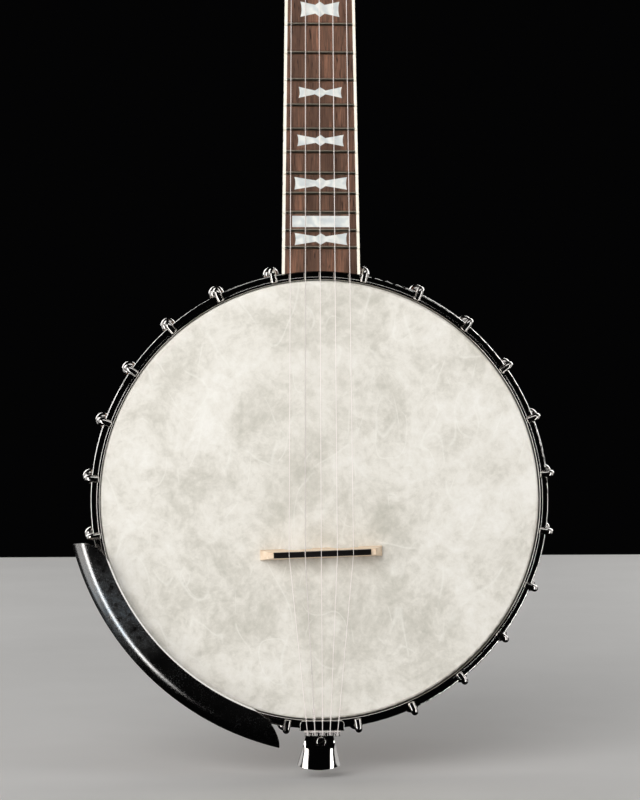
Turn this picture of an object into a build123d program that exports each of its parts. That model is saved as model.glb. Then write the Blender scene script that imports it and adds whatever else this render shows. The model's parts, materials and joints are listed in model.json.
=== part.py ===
from build123d import *
import os
from math import sin, cos, radians, sqrt, pi

os.makedirs("parts", exist_ok=True)

# ---------------------------------------------------------------------------
# Open-back five-string banjo.  +Z runs up the neck, the head faces -Y, +X is
# the player's right-hand side as the instrument is looked at from the front.
# The origin is the point under the peghead where a hanger's yoke carries it.
# ---------------------------------------------------------------------------

# Driving dimensions (mm, degrees)
POT_Z = -658.0            # pot centre below the hanging point
POT_Y = -36.0             # head surface in front of the hanging point
SCALE_LENGTH = 655.0      # nut to nominal bridge line
FRET_COUNT = 22
HOOK_COUNT = 24

RIM_OUTER_R = 139.9
RIM_INNER_R = 125.7
RIM_FRONT = 6.8           # depths are counted back from the head surface
RIM_BACK = 66.0
TONE_RING_INNER_R = 135.7
TONE_RING_OUTER_R = 140.1
HEAD_THICK = 0.4
HEAD_COLLAR_R = 140.9
HEAD_COLLAR_END = 12.5
FLESH_INNER_R = 140.9
FLESH_OUTER_R = 145.8
FLESH_FRONT = 11.0
FLESH_BACK = 16.0
HOOP_INNER_R = 141.4
HOOP_OUTER_R = 147.3
HOOP_LIP_R = 143.4
HOOP_LIP_FRONT = -1.4
HOOP_SHELF = 1.0

HOOK_FIRST = 11.5         # first hook each side of the neck
HOOK_PITCH = 14.5
HOOK_ROD_R = 149.7        # distance of the hook rods from the pot axis
HOOK_WIRE = 2.28
HOOK_SKEW = -0.45         # the whole set sits turned by this angle
CLAW_END_R = 142.3
HOOK_THREAD = 1.9
HOOK_END = 57.0
SHOE_R = 149.0
SHOE_FRONT = 26.0
SHOE_BACK = 40.5
SHOE_BARREL = 5.0
SHOE_BOLT_DEPTH = 33.5
SHOE_BOLT = 2.4

ROD_UPPER_DEPTH = 28.0
ROD_LOWER_DEPTH = 46.0
ROD_R = 4.5
LAG_R = 3.0

BOARD_START_Z = 148.75    # datum of the fingerboard above the pot centre
BOARD_END_S = -4.0        # the board runs on past its datum, over the hoop
BOARD_END_R = 146.8
BOARD_START_DEPTH = -1.7
BOARD_THICK = 5.5
NECK_TILT = 2.63          # back angle of the neck
BINDING = 1.8
NUT_S = 484.35            # distance of the nut from the datum of the board
NUT_LENGTH = 5.0
STRING_OVER_NUT = 1.42   # underside of the strings above the board at the nut
PIP_STRING = 3.43         # fifth string above the board at its nut
PIP_S = 323.4            # fifth-string nut, just above the fifth fret
FIFTH_S = 337.0          # fifth peg along the neck, and its depth in the neck
FIFTH_W = 5.6
HEAD_TILT = 14.0          # peghead falls back behind the neck
OVERLAY = 2.0
PEGHEAD_THICK = 16.0
PEGHEAD_X = 2.6

BRIDGE_Z = -33.8
BRIDGE_X = 0.35
BRIDGE_TURN = 1.9
SLOT_X = -0.75            # the string slots sit a little to the left on the bridge
BRIDGE_HEIGHT = 15.9
STRING_HEIGHT = 15.7      # string centres above the head at the bridge
STRING_PITCH = 10.25

# string radius, nut position across the neck, slot at the bridge, tail slot
STRINGS = {
    "string_1": (0.125, 14.0, 2, 11.2),
    "string_2": (0.150, 6.6, 1, 6.0),
    "string_3": (0.205, -0.8, 0, 0.8),
    "string_4": (0.290, -8.2, -1, -4.4),
    "string_5": (0.125, -17.5, -2, -9.6),
}
# post position across and along the peghead, side on which the string leaves
POSTS = {1: (27.0, 48.0, -1), 2: (24.0, 104.0, -1), 3: (-18.0, 104.0, 1), 4: (-21.0, 48.0, 1)}
POST_R = 3.0
POST_BORE = 3.08
SHAFT_R = 2.4
SHAFT_BORE = 2.48
STRING_WIND = -8.0        # winding height in front of the peghead

TAIL_SCREW_R = 154.4

# ---------------------------------------------------------------------------
# Reference planes and points
# ---------------------------------------------------------------------------
POT_AXIS = Axis((0, POT_Y, POT_Z), (0, 1, 0))
RADIAL = Plane(origin=(0, POT_Y, POT_Z), x_dir=(1, 0, 0), z_dir=(0, 0, 1))
SIDE = Plane(origin=(0, POT_Y, POT_Z), x_dir=(0, 0, 1), z_dir=(-1, 0, 0))


def facing(depth):
    """Plane parallel to the head, at a depth behind it, facing the player's front."""
    return Plane(origin=(0, POT_Y + depth, POT_Z), x_dir=(1, 0, 0), z_dir=(0, -1, 0))


def pot_point(x, depth, z):
    return Vector(x, POT_Y + depth, POT_Z + z)


T1 = radians(NECK_TILT)
ALONG = Vector(0, sin(T1), cos(T1))
BACK = Vector(0, cos(T1), -sin(T1))
NECK_ORIGIN = pot_point(0, BOARD_START_DEPTH, BOARD_START_Z)


def neck_point(x, s, w):
    return NECK_ORIGIN + Vector(x, 0, 0) + ALONG * s + BACK * w


def board_plane(w=0.0):
    """Plane of the fingerboard's playing surface, moved back by w."""
    return Plane(origin=neck_point(0, 0, w), x_dir=(1, 0, 0), z_dir=-BACK)


def neck_section(s):
    """Plane across the neck; local x across, local y towards the back."""
    return Plane(origin=neck_point(0, s, 0), x_dir=(1, 0, 0), z_dir=ALONG)


def neck_side(x, s, w):
    """Plane facing +X at a neck point; local x up the neck, local y forward."""
    return Plane(origin=neck_point(x, s, w), x_dir=ALONG, z_dir=Vector(1, 0, 0))


T2 = radians(NECK_TILT + HEAD_TILT)
ALONG_H = Vector(0, sin(T2), cos(T2))
BACK_H = Vector(0, cos(T2), -sin(T2))
PEG_ORIGIN = neck_point(PEGHEAD_X, NUT_S + NUT_LENGTH + 0.6, 1.5)


def peg_point(x, t, w):
    """x is measured from the neck's own x, t up the peghead, w behind its face."""
    return PEG_ORIGIN + Vector(x - PEGHEAD_X, 0, 0) + ALONG_H * t + BACK_H * w


def peg_plane(x, t, w):
    return Plane(origin=peg_point(x, t, w), x_dir=(1, 0, 0), z_dir=-BACK_H)


def around(piece, angles):
    return [piece.rotate(POT_AXIS, a) for a in angles]


def left_edge(s):
    """Left side of the neck: full width up to the fifth peg, then a smooth step in."""
    wide = -24.7 + 0.0136 * s
    narrow = -14.2 + (s - 367.0) * 2.0 / 126.0
    if s <= 343.0:
        return wide
    if s >= 367.0:
        return narrow
    f = (s - 343.0) / 24.0
    f = f * f * (3 - 2 * f)
    return wide * (1 - f) + narrow * f


def right_edge(s):
    return 25.3 - 0.0163 * s


def fret_s(n):
    return NUT_S - SCALE_LENGTH * (1 - 2 ** (-n / 12))


HOOK_ANGLES = [HOOK_SKEW + side * (HOOK_FIRST + HOOK_PITCH * k) for side in (1, -1) for k in range(HOOK_COUNT // 2)]

# ---------------------------------------------------------------------------
# Pot: rim, tone ring, head, flesh hoop, tension hoop
# ---------------------------------------------------------------------------
with BuildPart() as rim_drill:
    with BuildSketch(Plane(origin=pot_point(0, SHOE_BOLT_DEPTH, RIM_INNER_R - 6), x_dir=(1, 0, 0), z_dir=(0, 0, 1))):
        Circle(SHOE_BOLT + 0.2)
    extrude(amount=RIM_OUTER_R - RIM_INNER_R + 12)

with BuildPart() as rim:
    with BuildSketch(RADIAL) as rim_profile:
        with BuildLine():
            Polyline(
                (RIM_INNER_R, RIM_FRONT + 3.0),
                (RIM_INNER_R + 3.0, RIM_FRONT),
                (RIM_OUTER_R - 0.6, RIM_FRONT),
                (RIM_OUTER_R, RIM_FRONT + 0.6),
                (RIM_OUTER_R, RIM_BACK - 2.0),
                (RIM_OUTER_R - 2.0, RIM_BACK),
                (RIM_INNER_R + 2.0, RIM_BACK),
                (RIM_INNER_R, RIM_BACK - 2.0),
                close=True,
            )
        make_face()
    revolve(axis=POT_AXIS)
    # radial holes for the shoe bolts and for the two coordinator rods
    for cutter in around(rim_drill.part, HOOK_ANGLES):
        add(cutter, mode=Mode.SUBTRACT)
    for side in (1, -1):
        for rod_depth in (ROD_UPPER_DEPTH, ROD_LOWER_DEPTH):
            with BuildSketch(Plane(origin=pot_point(0, rod_depth, side * (RIM_INNER_R - 6)), x_dir=(1, 0, 0), z_dir=(0, 0, side))):
                Circle(LAG_R + 0.2)
            extrude(amount=RIM_OUTER_R - RIM_INNER_R + 12, mode=Mode.SUBTRACT)
rim.part.label = "rim"

with BuildPart() as tone_ring:
    with BuildSketch(RADIAL):
        with Locations(((TONE_RING_INNER_R + TONE_RING_OUTER_R) / 2, (HEAD_THICK + RIM_FRONT) / 2)):
            RectangleRounded(TONE_RING_OUTER_R - TONE_RING_INNER_R, RIM_FRONT - HEAD_THICK, 1.8)
    revolve(axis=POT_AXIS)
tone_ring.part.label = "tone_ring"

with BuildPart() as head:
    with BuildSketch(RADIAL):
        with BuildLine():
            Line((0, 0), (HEAD_COLLAR_R - 1.6, 0))
            RadiusArc((HEAD_COLLAR_R - 1.6, 0), (HEAD_COLLAR_R, 1.6), -1.6)
            Line((HEAD_COLLAR_R, 1.6), (HEAD_COLLAR_R, HEAD_COLLAR_END))
            Line((HEAD_COLLAR_R, HEAD_COLLAR_END), (HEAD_COLLAR_R - HEAD_THICK, HEAD_COLLAR_END))
            Line((HEAD_COLLAR_R - HEAD_THICK, HEAD_COLLAR_END), (HEAD_COLLAR_R - HEAD_THICK, 1.6))
            RadiusArc((HEAD_COLLAR_R - HEAD_THICK, 1.6), (HEAD_COLLAR_R - 1.6, HEAD_THICK), 1.2)
            Line((HEAD_COLLAR_R - 1.6, HEAD_THICK), (0, HEAD_THICK))
            Line((0, HEAD_THICK), (0, 0))
        make_face()
    revolve(axis=POT_AXIS)
head.part.label = "head"

with BuildPart() as flesh_hoop:
    with BuildSketch(RADIAL):
        with Locations(((FLESH_INNER_R + FLESH_OUTER_R) / 2, (FLESH_FRONT + FLESH_BACK) / 2)):
            Rectangle(FLESH_OUTER_R - FLESH_INNER_R, FLESH_BACK - FLESH_FRONT)
    revolve(axis=POT_AXIS)
flesh_hoop.part.label = "flesh_hoop"

with BuildPart() as tension_hoop:
    with BuildSketch(RADIAL) as hoop_profile:
        with BuildLine():
            Polyline(
                (HOOP_INNER_R, HOOP_LIP_FRONT),
                (HOOP_LIP_R, HOOP_LIP_FRONT),
                (HOOP_LIP_R, HOOP_SHELF),
                (HOOP_OUTER_R, HOOP_SHELF),
                (HOOP_OUTER_R, FLESH_FRONT - 0.4),
                (HOOP_OUTER_R - 0.4, FLESH_FRONT),
                (HOOP_INNER_R, FLESH_FRONT),
                close=True,
            )
        make_face()
        fillet(vertices().group_by(Axis.Y)[0], 0.6)
        fillet(vertices().filter_by_position(Axis.X, HOOP_OUTER_R - 0.01, HOOP_OUTER_R + 0.01).sort_by(Axis.Y)[0], 1.0)
    revolve(axis=POT_AXIS)
tension_hoop.part.label = "tension_hoop"

# ---------------------------------------------------------------------------
# Hooks, shoes, nuts and shoe bolts
# ---------------------------------------------------------------------------
CLAW_DEPTH = HOOP_SHELF - HOOK_WIRE + 0.15
with BuildPart() as one_hook:
    with BuildLine(SIDE) as hook_path:
        FilletPolyline(
            (CLAW_END_R, CLAW_DEPTH),
            (HOOK_ROD_R, CLAW_DEPTH),
            (HOOK_ROD_R, 9.0),
            radius=2.9,
        )
    with BuildSketch(Plane(origin=hook_path.line @ 0, z_dir=hook_path.line % 0)):
        Circle(HOOK_WIRE)
    sweep()
    with BuildSketch(facing(9.0)):
        with Locations((0, HOOK_ROD_R)):
            Circle(HOOK_THREAD)
    extrude(amount=-(HOOK_END - 9.0))
    fillet(one_hook.edges().filter_by(GeomType.CIRCLE).sort_by(Axis.Z)[0], 0.7)
    add(tension_hoop.part, mode=Mode.SUBTRACT)

with BuildPart() as bracket_hooks:
    for copy in around(one_hook.part, HOOK_ANGLES):
        add(copy)
bracket_hooks.part.label = "bracket_hooks"

with BuildPart() as one_shoe:
    with BuildSketch(facing(SHOE_FRONT)):
        with Locations((0, SHOE_R)):
            Circle(SHOE_BARREL)
    extrude(amount=-(SHOE_BACK - SHOE_FRONT))
    fillet(one_shoe.faces().sort_by(Axis.Y)[0].edges(), 4.3)
    fillet(one_shoe.faces().sort_by(Axis.Y)[-1].edges(), 0.6)
    with BuildSketch(facing(SHOE_FRONT + 2.5)):
        with Locations((0, (RIM_OUTER_R - 2 + SHOE_R) / 2)):
            Rectangle(7.0, SHOE_R - RIM_OUTER_R + 2)
    extrude(amount=-(SHOE_BACK - SHOE_FRONT - 4.0))
    with BuildSketch(facing(SHOE_FRONT + 1.5)):
        with Locations((0, RIM_OUTER_R + 0.4)):
            RectangleRounded(11.0, 3.6, 0.8)
    extrude(amount=-(SHOE_BACK - SHOE_FRONT - 2.0))
    with BuildSketch(facing(0.0)):
        Circle(RIM_OUTER_R)
    extrude(amount=-60.0, mode=Mode.SUBTRACT)
    with BuildSketch(facing(0.0)):
        with Locations((0, HOOK_ROD_R)):
            Circle(HOOK_THREAD + 0.2)
    extrude(amount=-60.0, mode=Mode.SUBTRACT)
    with BuildSketch(Plane(origin=pot_point(0, SHOE_BOLT_DEPTH, RIM_OUTER_R - 2), x_dir=(1, 0, 0), z_dir=(0, 0, 1))):
        Circle(SHOE_BOLT)
    extrude(amount=8.8, mode=Mode.SUBTRACT)

with BuildPart() as bracket_shoes:
    for copy in around(one_shoe.part, HOOK_ANGLES):
        add(copy)
bracket_shoes.part.label = "bracket_shoes"

with BuildPart() as one_nut:
    with BuildSketch(facing(SHOE_BACK)):
        with Locations((0, HOOK_ROD_R)):
            Circle(4.6)
            Circle(HOOK_THREAD, mode=Mode.SUBTRACT)
    extrude(amount=-1.2)
    with BuildSketch(facing(SHOE_BACK + 1.2)):
        with Locations((0, HOOK_ROD_R)):
            RegularPolygon(3.9, 6, rotation=30)
            Circle(HOOK_THREAD, mode=Mode.SUBTRACT)
    extrude(amount=-10.5)

with BuildPart() as bracket_nuts:
    for copy in around(one_nut.part, HOOK_ANGLES):
        add(copy)
bracket_nuts.part.label = "bracket_nuts"

BOLT_HEAD_R = sqrt(RIM_INNER_R**2 - 5.0**2) - 0.05
with BuildPart() as one_shoe_bolt:
    with BuildSketch(Plane(origin=pot_point(0, SHOE_BOLT_DEPTH, BOLT_HEAD_R), x_dir=(1, 0, 0), z_dir=(0, 0, -1))):
        Circle(5.0)
    extrude(amount=1.0)
    with BuildSketch(Plane(origin=pot_point(0, SHOE_BOLT_DEPTH, BOLT_HEAD_R - 1.0), x_dir=(1, 0, 0), z_dir=(0, 0, -1))):
        RegularPolygon(4.1, 6)
    extrude(amount=2.8)
    with BuildSketch(Plane(origin=pot_point(0, SHOE_BOLT_DEPTH, BOLT_HEAD_R), x_dir=(1, 0, 0), z_dir=(0, 0, 1))):
        Circle(SHOE_BOLT)
    extrude(amount=145.6 - BOLT_HEAD_R)

with BuildPart() as shoe_bolts:
    for copy in around(one_shoe_bolt.part, HOOK_ANGLES):
        add(copy)
shoe_bolts.part.label = "shoe_bolts"

# ---------------------------------------------------------------------------
# Coordinator rods with their end bolts and jam nuts
# ---------------------------------------------------------------------------


def up_plane(depth, z, up=1):
    return Plane(origin=pot_point(0, depth, z), x_dir=(1, 0, 0), z_dir=(0, 0, up))


with BuildPart() as coordinator_rod_upper:
    with BuildSketch(up_plane(ROD_UPPER_DEPTH, -125.1)):
        Circle(ROD_R)
    extrude(amount=125.1 + 117.2)
    chamfer(coordinator_rod_upper.edges().filter_by(GeomType.CIRCLE), 0.5)
    with BuildSketch(up_plane(ROD_UPPER_DEPTH, -125.7)):
        Circle(LAG_R)
    extrude(amount=18.0, mode=Mode.SUBTRACT)
    with BuildSketch(up_plane(ROD_UPPER_DEPTH, 96.0)):
        Circle(LAG_R)
    extrude(amount=23.0, mode=Mode.SUBTRACT)
    with BuildSketch(Plane.YZ.offset(-8)):
        with Locations((POT_Y + ROD_UPPER_DEPTH, POT_Z + 84.0)):
            Circle(1.6)
    extrude(amount=16.0, mode=Mode.SUBTRACT)
coordinator_rod_upper.part.label = "coordinator_rod_upper"

with BuildPart() as coordinator_rod_lower:
    with BuildSketch(up_plane(ROD_LOWER_DEPTH, -125.1)):
        Circle(ROD_R)
    extrude(amount=125.1 + 117.2)
    chamfer(coordinator_rod_lower.edges().filter_by(GeomType.CIRCLE), 0.5)
    with BuildSketch(up_plane(ROD_LOWER_DEPTH, -125.7)):
        Circle(LAG_R)
    extrude(amount=18.0, mode=Mode.SUBTRACT)
    with BuildSketch(up_plane(ROD_LOWER_DEPTH, 96.0)):
        Circle(LAG_R)
    extrude(amount=23.0, mode=Mode.SUBTRACT)
    with BuildSketch(Plane.YZ.offset(-8)):
        with Locations((POT_Y + ROD_LOWER_DEPTH, POT_Z + 84.0)):
            Circle(1.6)
    extrude(amount=16.0, mode=Mode.SUBTRACT)
coordinator_rod_lower.part.label = "coordinator_rod_lower"

with BuildPart() as rod_nuts:
    for rod_depth in (ROD_UPPER_DEPTH, ROD_LOWER_DEPTH):
        with BuildSketch(up_plane(rod_depth, 117.2)):
            RegularPolygon(6.2, 6)
            Circle(LAG_R, mode=Mode.SUBTRACT)
        extrude(amount=6.2)
        with BuildSketch(up_plane(rod_depth, 123.4)):
            Circle(7.0)
            Circle(LAG_R, mode=Mode.SUBTRACT)
        extrude(amount=sqrt(RIM_INNER_R**2 - 49.0) - 0.05 - 123.4)
rod_nuts.part.label = "rod_nuts"

with BuildPart() as neck_lag_bolts:
    for rod_depth, end_z in ((ROD_UPPER_DEPTH, 169.0), (ROD_LOWER_DEPTH, 157.0)):
        with BuildSketch(up_plane(rod_depth, 100.0)):
            Circle(LAG_R)
        extrude(amount=end_z - 100.0)
neck_lag_bolts.part.label = "neck_lag_bolts"

with BuildPart() as rod_end_bolts:
    for rod_depth in (ROD_UPPER_DEPTH, ROD_LOWER_DEPTH):
        with BuildSketch(up_plane(rod_depth, -142.2, -1)):
            RegularPolygon(5.6, 6)
        extrude(amount=4.2)
        with BuildSketch(up_plane(rod_depth, -142.2)):
            Circle(LAG_R)
        extrude(amount=142.2 - 109.0)
rod_end_bolts.part.label = "rod_end_bolts"

# ---------------------------------------------------------------------------
# Neck with heel and peghead
# ---------------------------------------------------------------------------


def d_section(s, depth):
    """Half-ellipse neck section hanging from the underside of the board."""
    xl, xr = left_edge(s), right_edge(s)
    with BuildSketch(neck_section(s)) as section:
        with BuildLine():
            EllipticalCenterArc(((xl + xr) / 2, BOARD_THICK), (xr - xl) / 2, depth, start_angle=0, arc_size=180)
            Line((xl, BOARD_THICK), (xr, BOARD_THICK))
        make_face()
    return section.sketch


def neck_depth(s):
    """Wood depth below the board."""
    return 19.5 - 0.0105 * s


HEEL = ((9.0, 23.6, 197.0), (20.0, 21.4, 185.0), (32.0, 17.4, 171.0), (45.0, 13.6, 163.5), (57.5, 11.2, 161.0))
PEG_OUTLINE = [
    (14.7, 9.0), (17.2, 22.0), (27.0, 33.0), (36.0, 44.0), (36.6, 56.0), (31.5, 70.0),
    (30.0, 84.0), (32.8, 98.0), (33.4, 110.0), (27.5, 122.0), (19.0, 131.0), (13.5, 141.0),
]


def peg_outline_wire(grow=0.0, start=0.0):
    """Closed outline of the peghead in peg-plane coordinates, centred on x = 0."""
    right = [(x + grow, t + grow * 0.5) for x, t in PEG_OUTLINE]
    left = [(-x, t) for x, t in reversed(right)]
    side_r = Line((14.7 + grow, start), right[0])
    r = Spline(*right, tangents=[(0, 1), (-0.45, 1)])
    top = ThreePointArc(right[-1], (0, 146.5 + grow), left[0])
    l = Spline(*left, tangents=[(-0.45, -1), (0, -1)])
    side_l = Line(left[-1], (-14.7 - grow, start))
    base = Line((-14.7 - grow, start), (14.7 + grow, start))
    return side_r, r, top, l, side_l, base


with BuildPart() as neck:
    loft([d_section(s, neck_depth(s)) for s in (BOARD_END_S, 343.0)], ruled=True)
    loft([d_section(s, neck_depth(s)) for s in (343.0, 349.0, 355.0, 361.0, 367.0)])
    loft([d_section(s, neck_depth(s)) for s in (367.0, 489.85)], ruled=True)
    # heel, deepening towards the rim
    for heel_depth, half, far in HEEL:
        with BuildSketch(facing(heel_depth)):
            with BuildLine():
                EllipticalCenterArc((0, 151.0), half, far - 151.0, start_angle=0, arc_size=180)
                Line((-half, 151.0), (-half, 127.0))
                Line((-half, 127.0), (half, 127.0))
                Line((half, 127.0), (half, 151.0))
            make_face()
    loft()
    # peghead blank
    with BuildSketch(peg_plane(PEGHEAD_X, 0, OVERLAY)):
        with BuildLine():
            peg_outline_wire()
        make_face()
    extrude(amount=-(PEGHEAD_THICK - OVERLAY))
    # volute: eases the round neck into the flat peghead
    with BuildSketch(neck_section(455.0)):
        with BuildLine():
            EllipticalCenterArc(((left_edge(455) + right_edge(455)) / 2, BOARD_THICK), (right_edge(455) - left_edge(455)) / 2 - 0.05, neck_depth(455) - 0.05, start_angle=0, arc_size=180)
            Line((left_edge(455) + 0.05, BOARD_THICK), (right_edge(455) - 0.05, BOARD_THICK))
        make_face()
    with BuildSketch(neck_section(487.85)):
        with BuildLine():
            EllipticalCenterArc((PEGHEAD_X, BOARD_THICK), 14.2, 16.6, start_angle=0, arc_size=180)
            Line((PEGHEAD_X - 14.2, BOARD_THICK), (PEGHEAD_X + 14.2, BOARD_THICK))
        make_face()
    with BuildSketch(Plane(origin=peg_point(PEGHEAD_X, 24.0, 0), x_dir=(1, 0, 0), z_dir=ALONG_H)):
        with BuildLine():
            EllipticalCenterArc((0, 5.0), 14.0, PEGHEAD_THICK - 5.2, start_angle=0, arc_size=180)
            Line((-14.0, 5.0), (14.0, 5.0))
        make_face()
    loft()
    # the end of the neck stands against the nut's back
    # saddle that takes the rim, relieved around the hoops
    with BuildSketch(facing(17.2)):
        Circle(RIM_OUTER_R)
    extrude(amount=-60.0, mode=Mode.SUBTRACT)
    with BuildSketch(facing(-12.0)):
        Circle(HOOP_OUTER_R + 0.4)
    extrude(amount=-(17.2 + 12.0), mode=Mode.SUBTRACT)
    # wood in front of the board's underside and of the overlay is taken away
    with BuildSketch(board_plane(BOARD_THICK)):
        with Locations((0, (NUT_S + BOARD_END_S) / 2)):
            Rectangle(90.0, NUT_S - BOARD_END_S + NUT_LENGTH * 2)
    extrude(amount=20.0, mode=Mode.SUBTRACT)
    with BuildSketch(peg_plane(PEGHEAD_X, 0, OVERLAY)):
        with Locations((0, 80.0)):
            Rectangle(120.0, 160.0)
    extrude(amount=12.0, mode=Mode.SUBTRACT)
    # lag bolt holes
    for rod_depth, end_z in ((ROD_UPPER_DEPTH, 169.0), (ROD_LOWER_DEPTH, 157.0)):
        with BuildSketch(up_plane(rod_depth, 100.0)):
            Circle(LAG_R)
        extrude(amount=end_z - 100.0, mode=Mode.SUBTRACT)
    # tuner holes
    for across, up, _side in POSTS.values():
        with BuildSketch(peg_plane(across, up, -4)):
            Circle(5.0)
        extrude(amount=-30.0, mode=Mode.SUBTRACT)
    # fifth peg hole in the left side
    with BuildSketch(neck_side(-4.0, FIFTH_S, FIFTH_W)):
        Circle(2.6)
    extrude(amount=-30.0, mode=Mode.SUBTRACT)
    # truss rod channel and its adjusting pocket
    with BuildSketch(neck_section(20.0)):
        with Locations((0.4, 11.2)):
            Circle(2.55)
    extrude(amount=482.0, mode=Mode.SUBTRACT)
    with BuildSketch(peg_plane(PEGHEAD_X, 0, -1)):
        with Locations((-2.0, 15.5)):
            SlotOverall(18.0, 8.0, rotation=90)
    extrude(amount=-12.2, mode=Mode.SUBTRACT)
    # screw holes of the truss rod cover
    for across, up in ((0.0, 32.0), (-8.0, 7.0), (8.0, 7.0)):
        with BuildSketch(peg_plane(PEGHEAD_X + across, up, 0)):
            Circle(0.9)
        extrude(amount=-7.0, mode=Mode.SUBTRACT)
neck.part.label = "neck"

with BuildPart() as heel_cap:
    with BuildSketch(facing(57.5)):
        with BuildLine():
            EllipticalCenterArc((0, 151.0), 11.2, 10.0, start_angle=0, arc_size=180)
            Line((-11.2, 151.0), (-11.2, 127.0))
            Line((-11.2, 127.0), (11.2, 127.0))
            Line((11.2, 127.0), (11.2, 151.0))
        make_face()
    extrude(amount=-1.8)
    with BuildSketch(facing(50.0)):
        Circle(RIM_OUTER_R)
    extrude(amount=-20.0, mode=Mode.SUBTRACT)
heel_cap.part.label = "heel_cap"

# ---------------------------------------------------------------------------
# Fingerboard, binding, inlays, frets, nuts
# ---------------------------------------------------------------------------
STEP_S = [343.0, 347.0, 351.0, 355.0, 359.0, 363.0, 367.0]


def board_outline(inset):
    """Board outline in board-plane coordinates, drawn in by the binding's width."""
    pts = [(left_edge(s) + inset, s) for s in STEP_S]
    end = BOARD_END_S
    a = Line((right_edge(end) - inset, end), (right_edge(NUT_S) - inset, NUT_S))
    b = Line((right_edge(NUT_S) - inset, NUT_S), (left_edge(NUT_S) + inset, NUT_S))
    c = Line((left_edge(NUT_S) + inset, NUT_S), pts[-1])
    d = Spline(*reversed(pts), tangents=[(-0.0159, -1), (-0.0136, -1)])
    e = Line(pts[0], (left_edge(end) + inset, end))
    f = Line((left_edge(end) + inset, end), (right_edge(end) - inset, end))
    return a, b, c, d, e, f


with BuildPart() as hoop_relief:
    # the board's end follows the hoop and stands free of its shelf
    with BuildSketch(facing(-20.0)):
        Circle(BOARD_END_R)
    extrude(amount=-40.0)
    with BuildSketch(facing(0.6)):
        Circle(HOOP_OUTER_R + 0.4)
    extrude(amount=-20.0)


# marker fret: total width, end height, waist height, waist position, centre height
MARKERS = {
    3: (22.0, 8.4, 4.2, 3.0, 8.4),
    5: (23.0, 8.6, 4.2, 3.0, 8.6),
    7: (24.0, 8.0, 3.6, 3.0, 8.0),
    10: (25.0, 8.6, 4.4, 3.0, 8.6),
    12: (25.0, 9.9, 5.6, 3.0, 9.9),
    15: (27.8, 7.1, 2.4, 3.4, 6.6),
    17: (29.8, 7.4, 3.0, 3.0, 7.2),
    19: (33.8, 8.1, 3.6, 3.2, 7.6),
    22: (33.8, 7.8, 3.4, 3.2, 7.4),
}
INLAY = 1.2


def centre_x(s):
    return (left_edge(s) + right_edge(s)) / 2


with BuildPart() as position_inlays:
    for marker, (width, tall, waist, waist_x, middle) in MARKERS.items():
        s = (fret_s(marker) + fret_s(marker - 1)) / 2
        w2, h2, p2, m2 = width / 2, tall / 2, waist / 2, middle / 2
        cx = centre_x(s)
        with BuildSketch(board_plane(0)):
            with BuildLine():
                Polyline((cx + w2, s + h2), (cx + waist_x, s + p2), (cx, s + m2), (cx - waist_x, s + p2), (cx - w2, s + h2))
                ThreePointArc((cx - w2, s + h2), (cx - w2 + 0.7, s), (cx - w2, s - h2))
                Polyline((cx - w2, s - h2), (cx - waist_x, s - p2), (cx, s - m2), (cx + waist_x, s - p2), (cx + w2, s - h2))
                ThreePointArc((cx + w2, s - h2), (cx + w2 - 0.7, s), (cx + w2, s + h2))
            make_face()
        extrude(amount=-INLAY)
    s = (fret_s(21) + fret_s(20)) / 2
    with BuildSketch(board_plane(0)):
        with Locations((centre_x(s), s)):
            Rectangle(36.8, 7.2)
    extrude(amount=-INLAY)
position_inlays.part.label = "position_inlays"

FRET_HALF = 1.15
FRET_TALL = 1.1
NIB_HALF = 1.05
NIB_TALL = 0.9
with BuildPart() as frets:
    for n in range(1, FRET_COUNT + 1):
        s = fret_s(n)
        xl, xr = left_edge(s) + BINDING, right_edge(s) - BINDING
        with BuildSketch(neck_side(xl, s, 0)):
            with BuildLine():
                EllipticalCenterArc((0, 0), FRET_HALF, FRET_TALL, start_angle=0, arc_size=180)
                Line((-FRET_HALF, 0), (FRET_HALF, 0))
            make_face()
        extrude(amount=xr - xl)
        with BuildSketch(neck_side(xl + 0.35, s, 0)):
            with Locations((0, -0.9)):
                Rectangle(0.6, 2.0)
        extrude(amount=xr - xl - 0.7)
frets.part.label = "frets"

with BuildPart() as fingerboard:
    with BuildSketch(board_plane(0)):
        with BuildLine():
            board_outline(BINDING)
        make_face()
    extrude(amount=-BOARD_THICK)
    add(position_inlays.part, mode=Mode.SUBTRACT)
    add(hoop_relief.part, mode=Mode.SUBTRACT)
    for n in range(1, FRET_COUNT + 1):
        s = fret_s(n)
        xl, xr = left_edge(s) + BINDING, right_edge(s) - BINDING
        with BuildSketch(neck_side(xl + 0.35, s, 0)):
            with Locations((0, -0.9)):
                Rectangle(0.6, 2.0)
        extrude(amount=xr - xl - 0.7, mode=Mode.SUBTRACT)
    with BuildSketch(neck_side(-4.0, FIFTH_S, FIFTH_W)):
        Circle(2.6)
    extrude(amount=-30.0, mode=Mode.SUBTRACT)
    with BuildSketch(board_plane(-2)):
        with Locations((-17.5, PIP_S)):
            Circle(1.3)
    extrude(amount=-6.0, mode=Mode.SUBTRACT)
fingerboard.part.label = "fingerboard"

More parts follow.
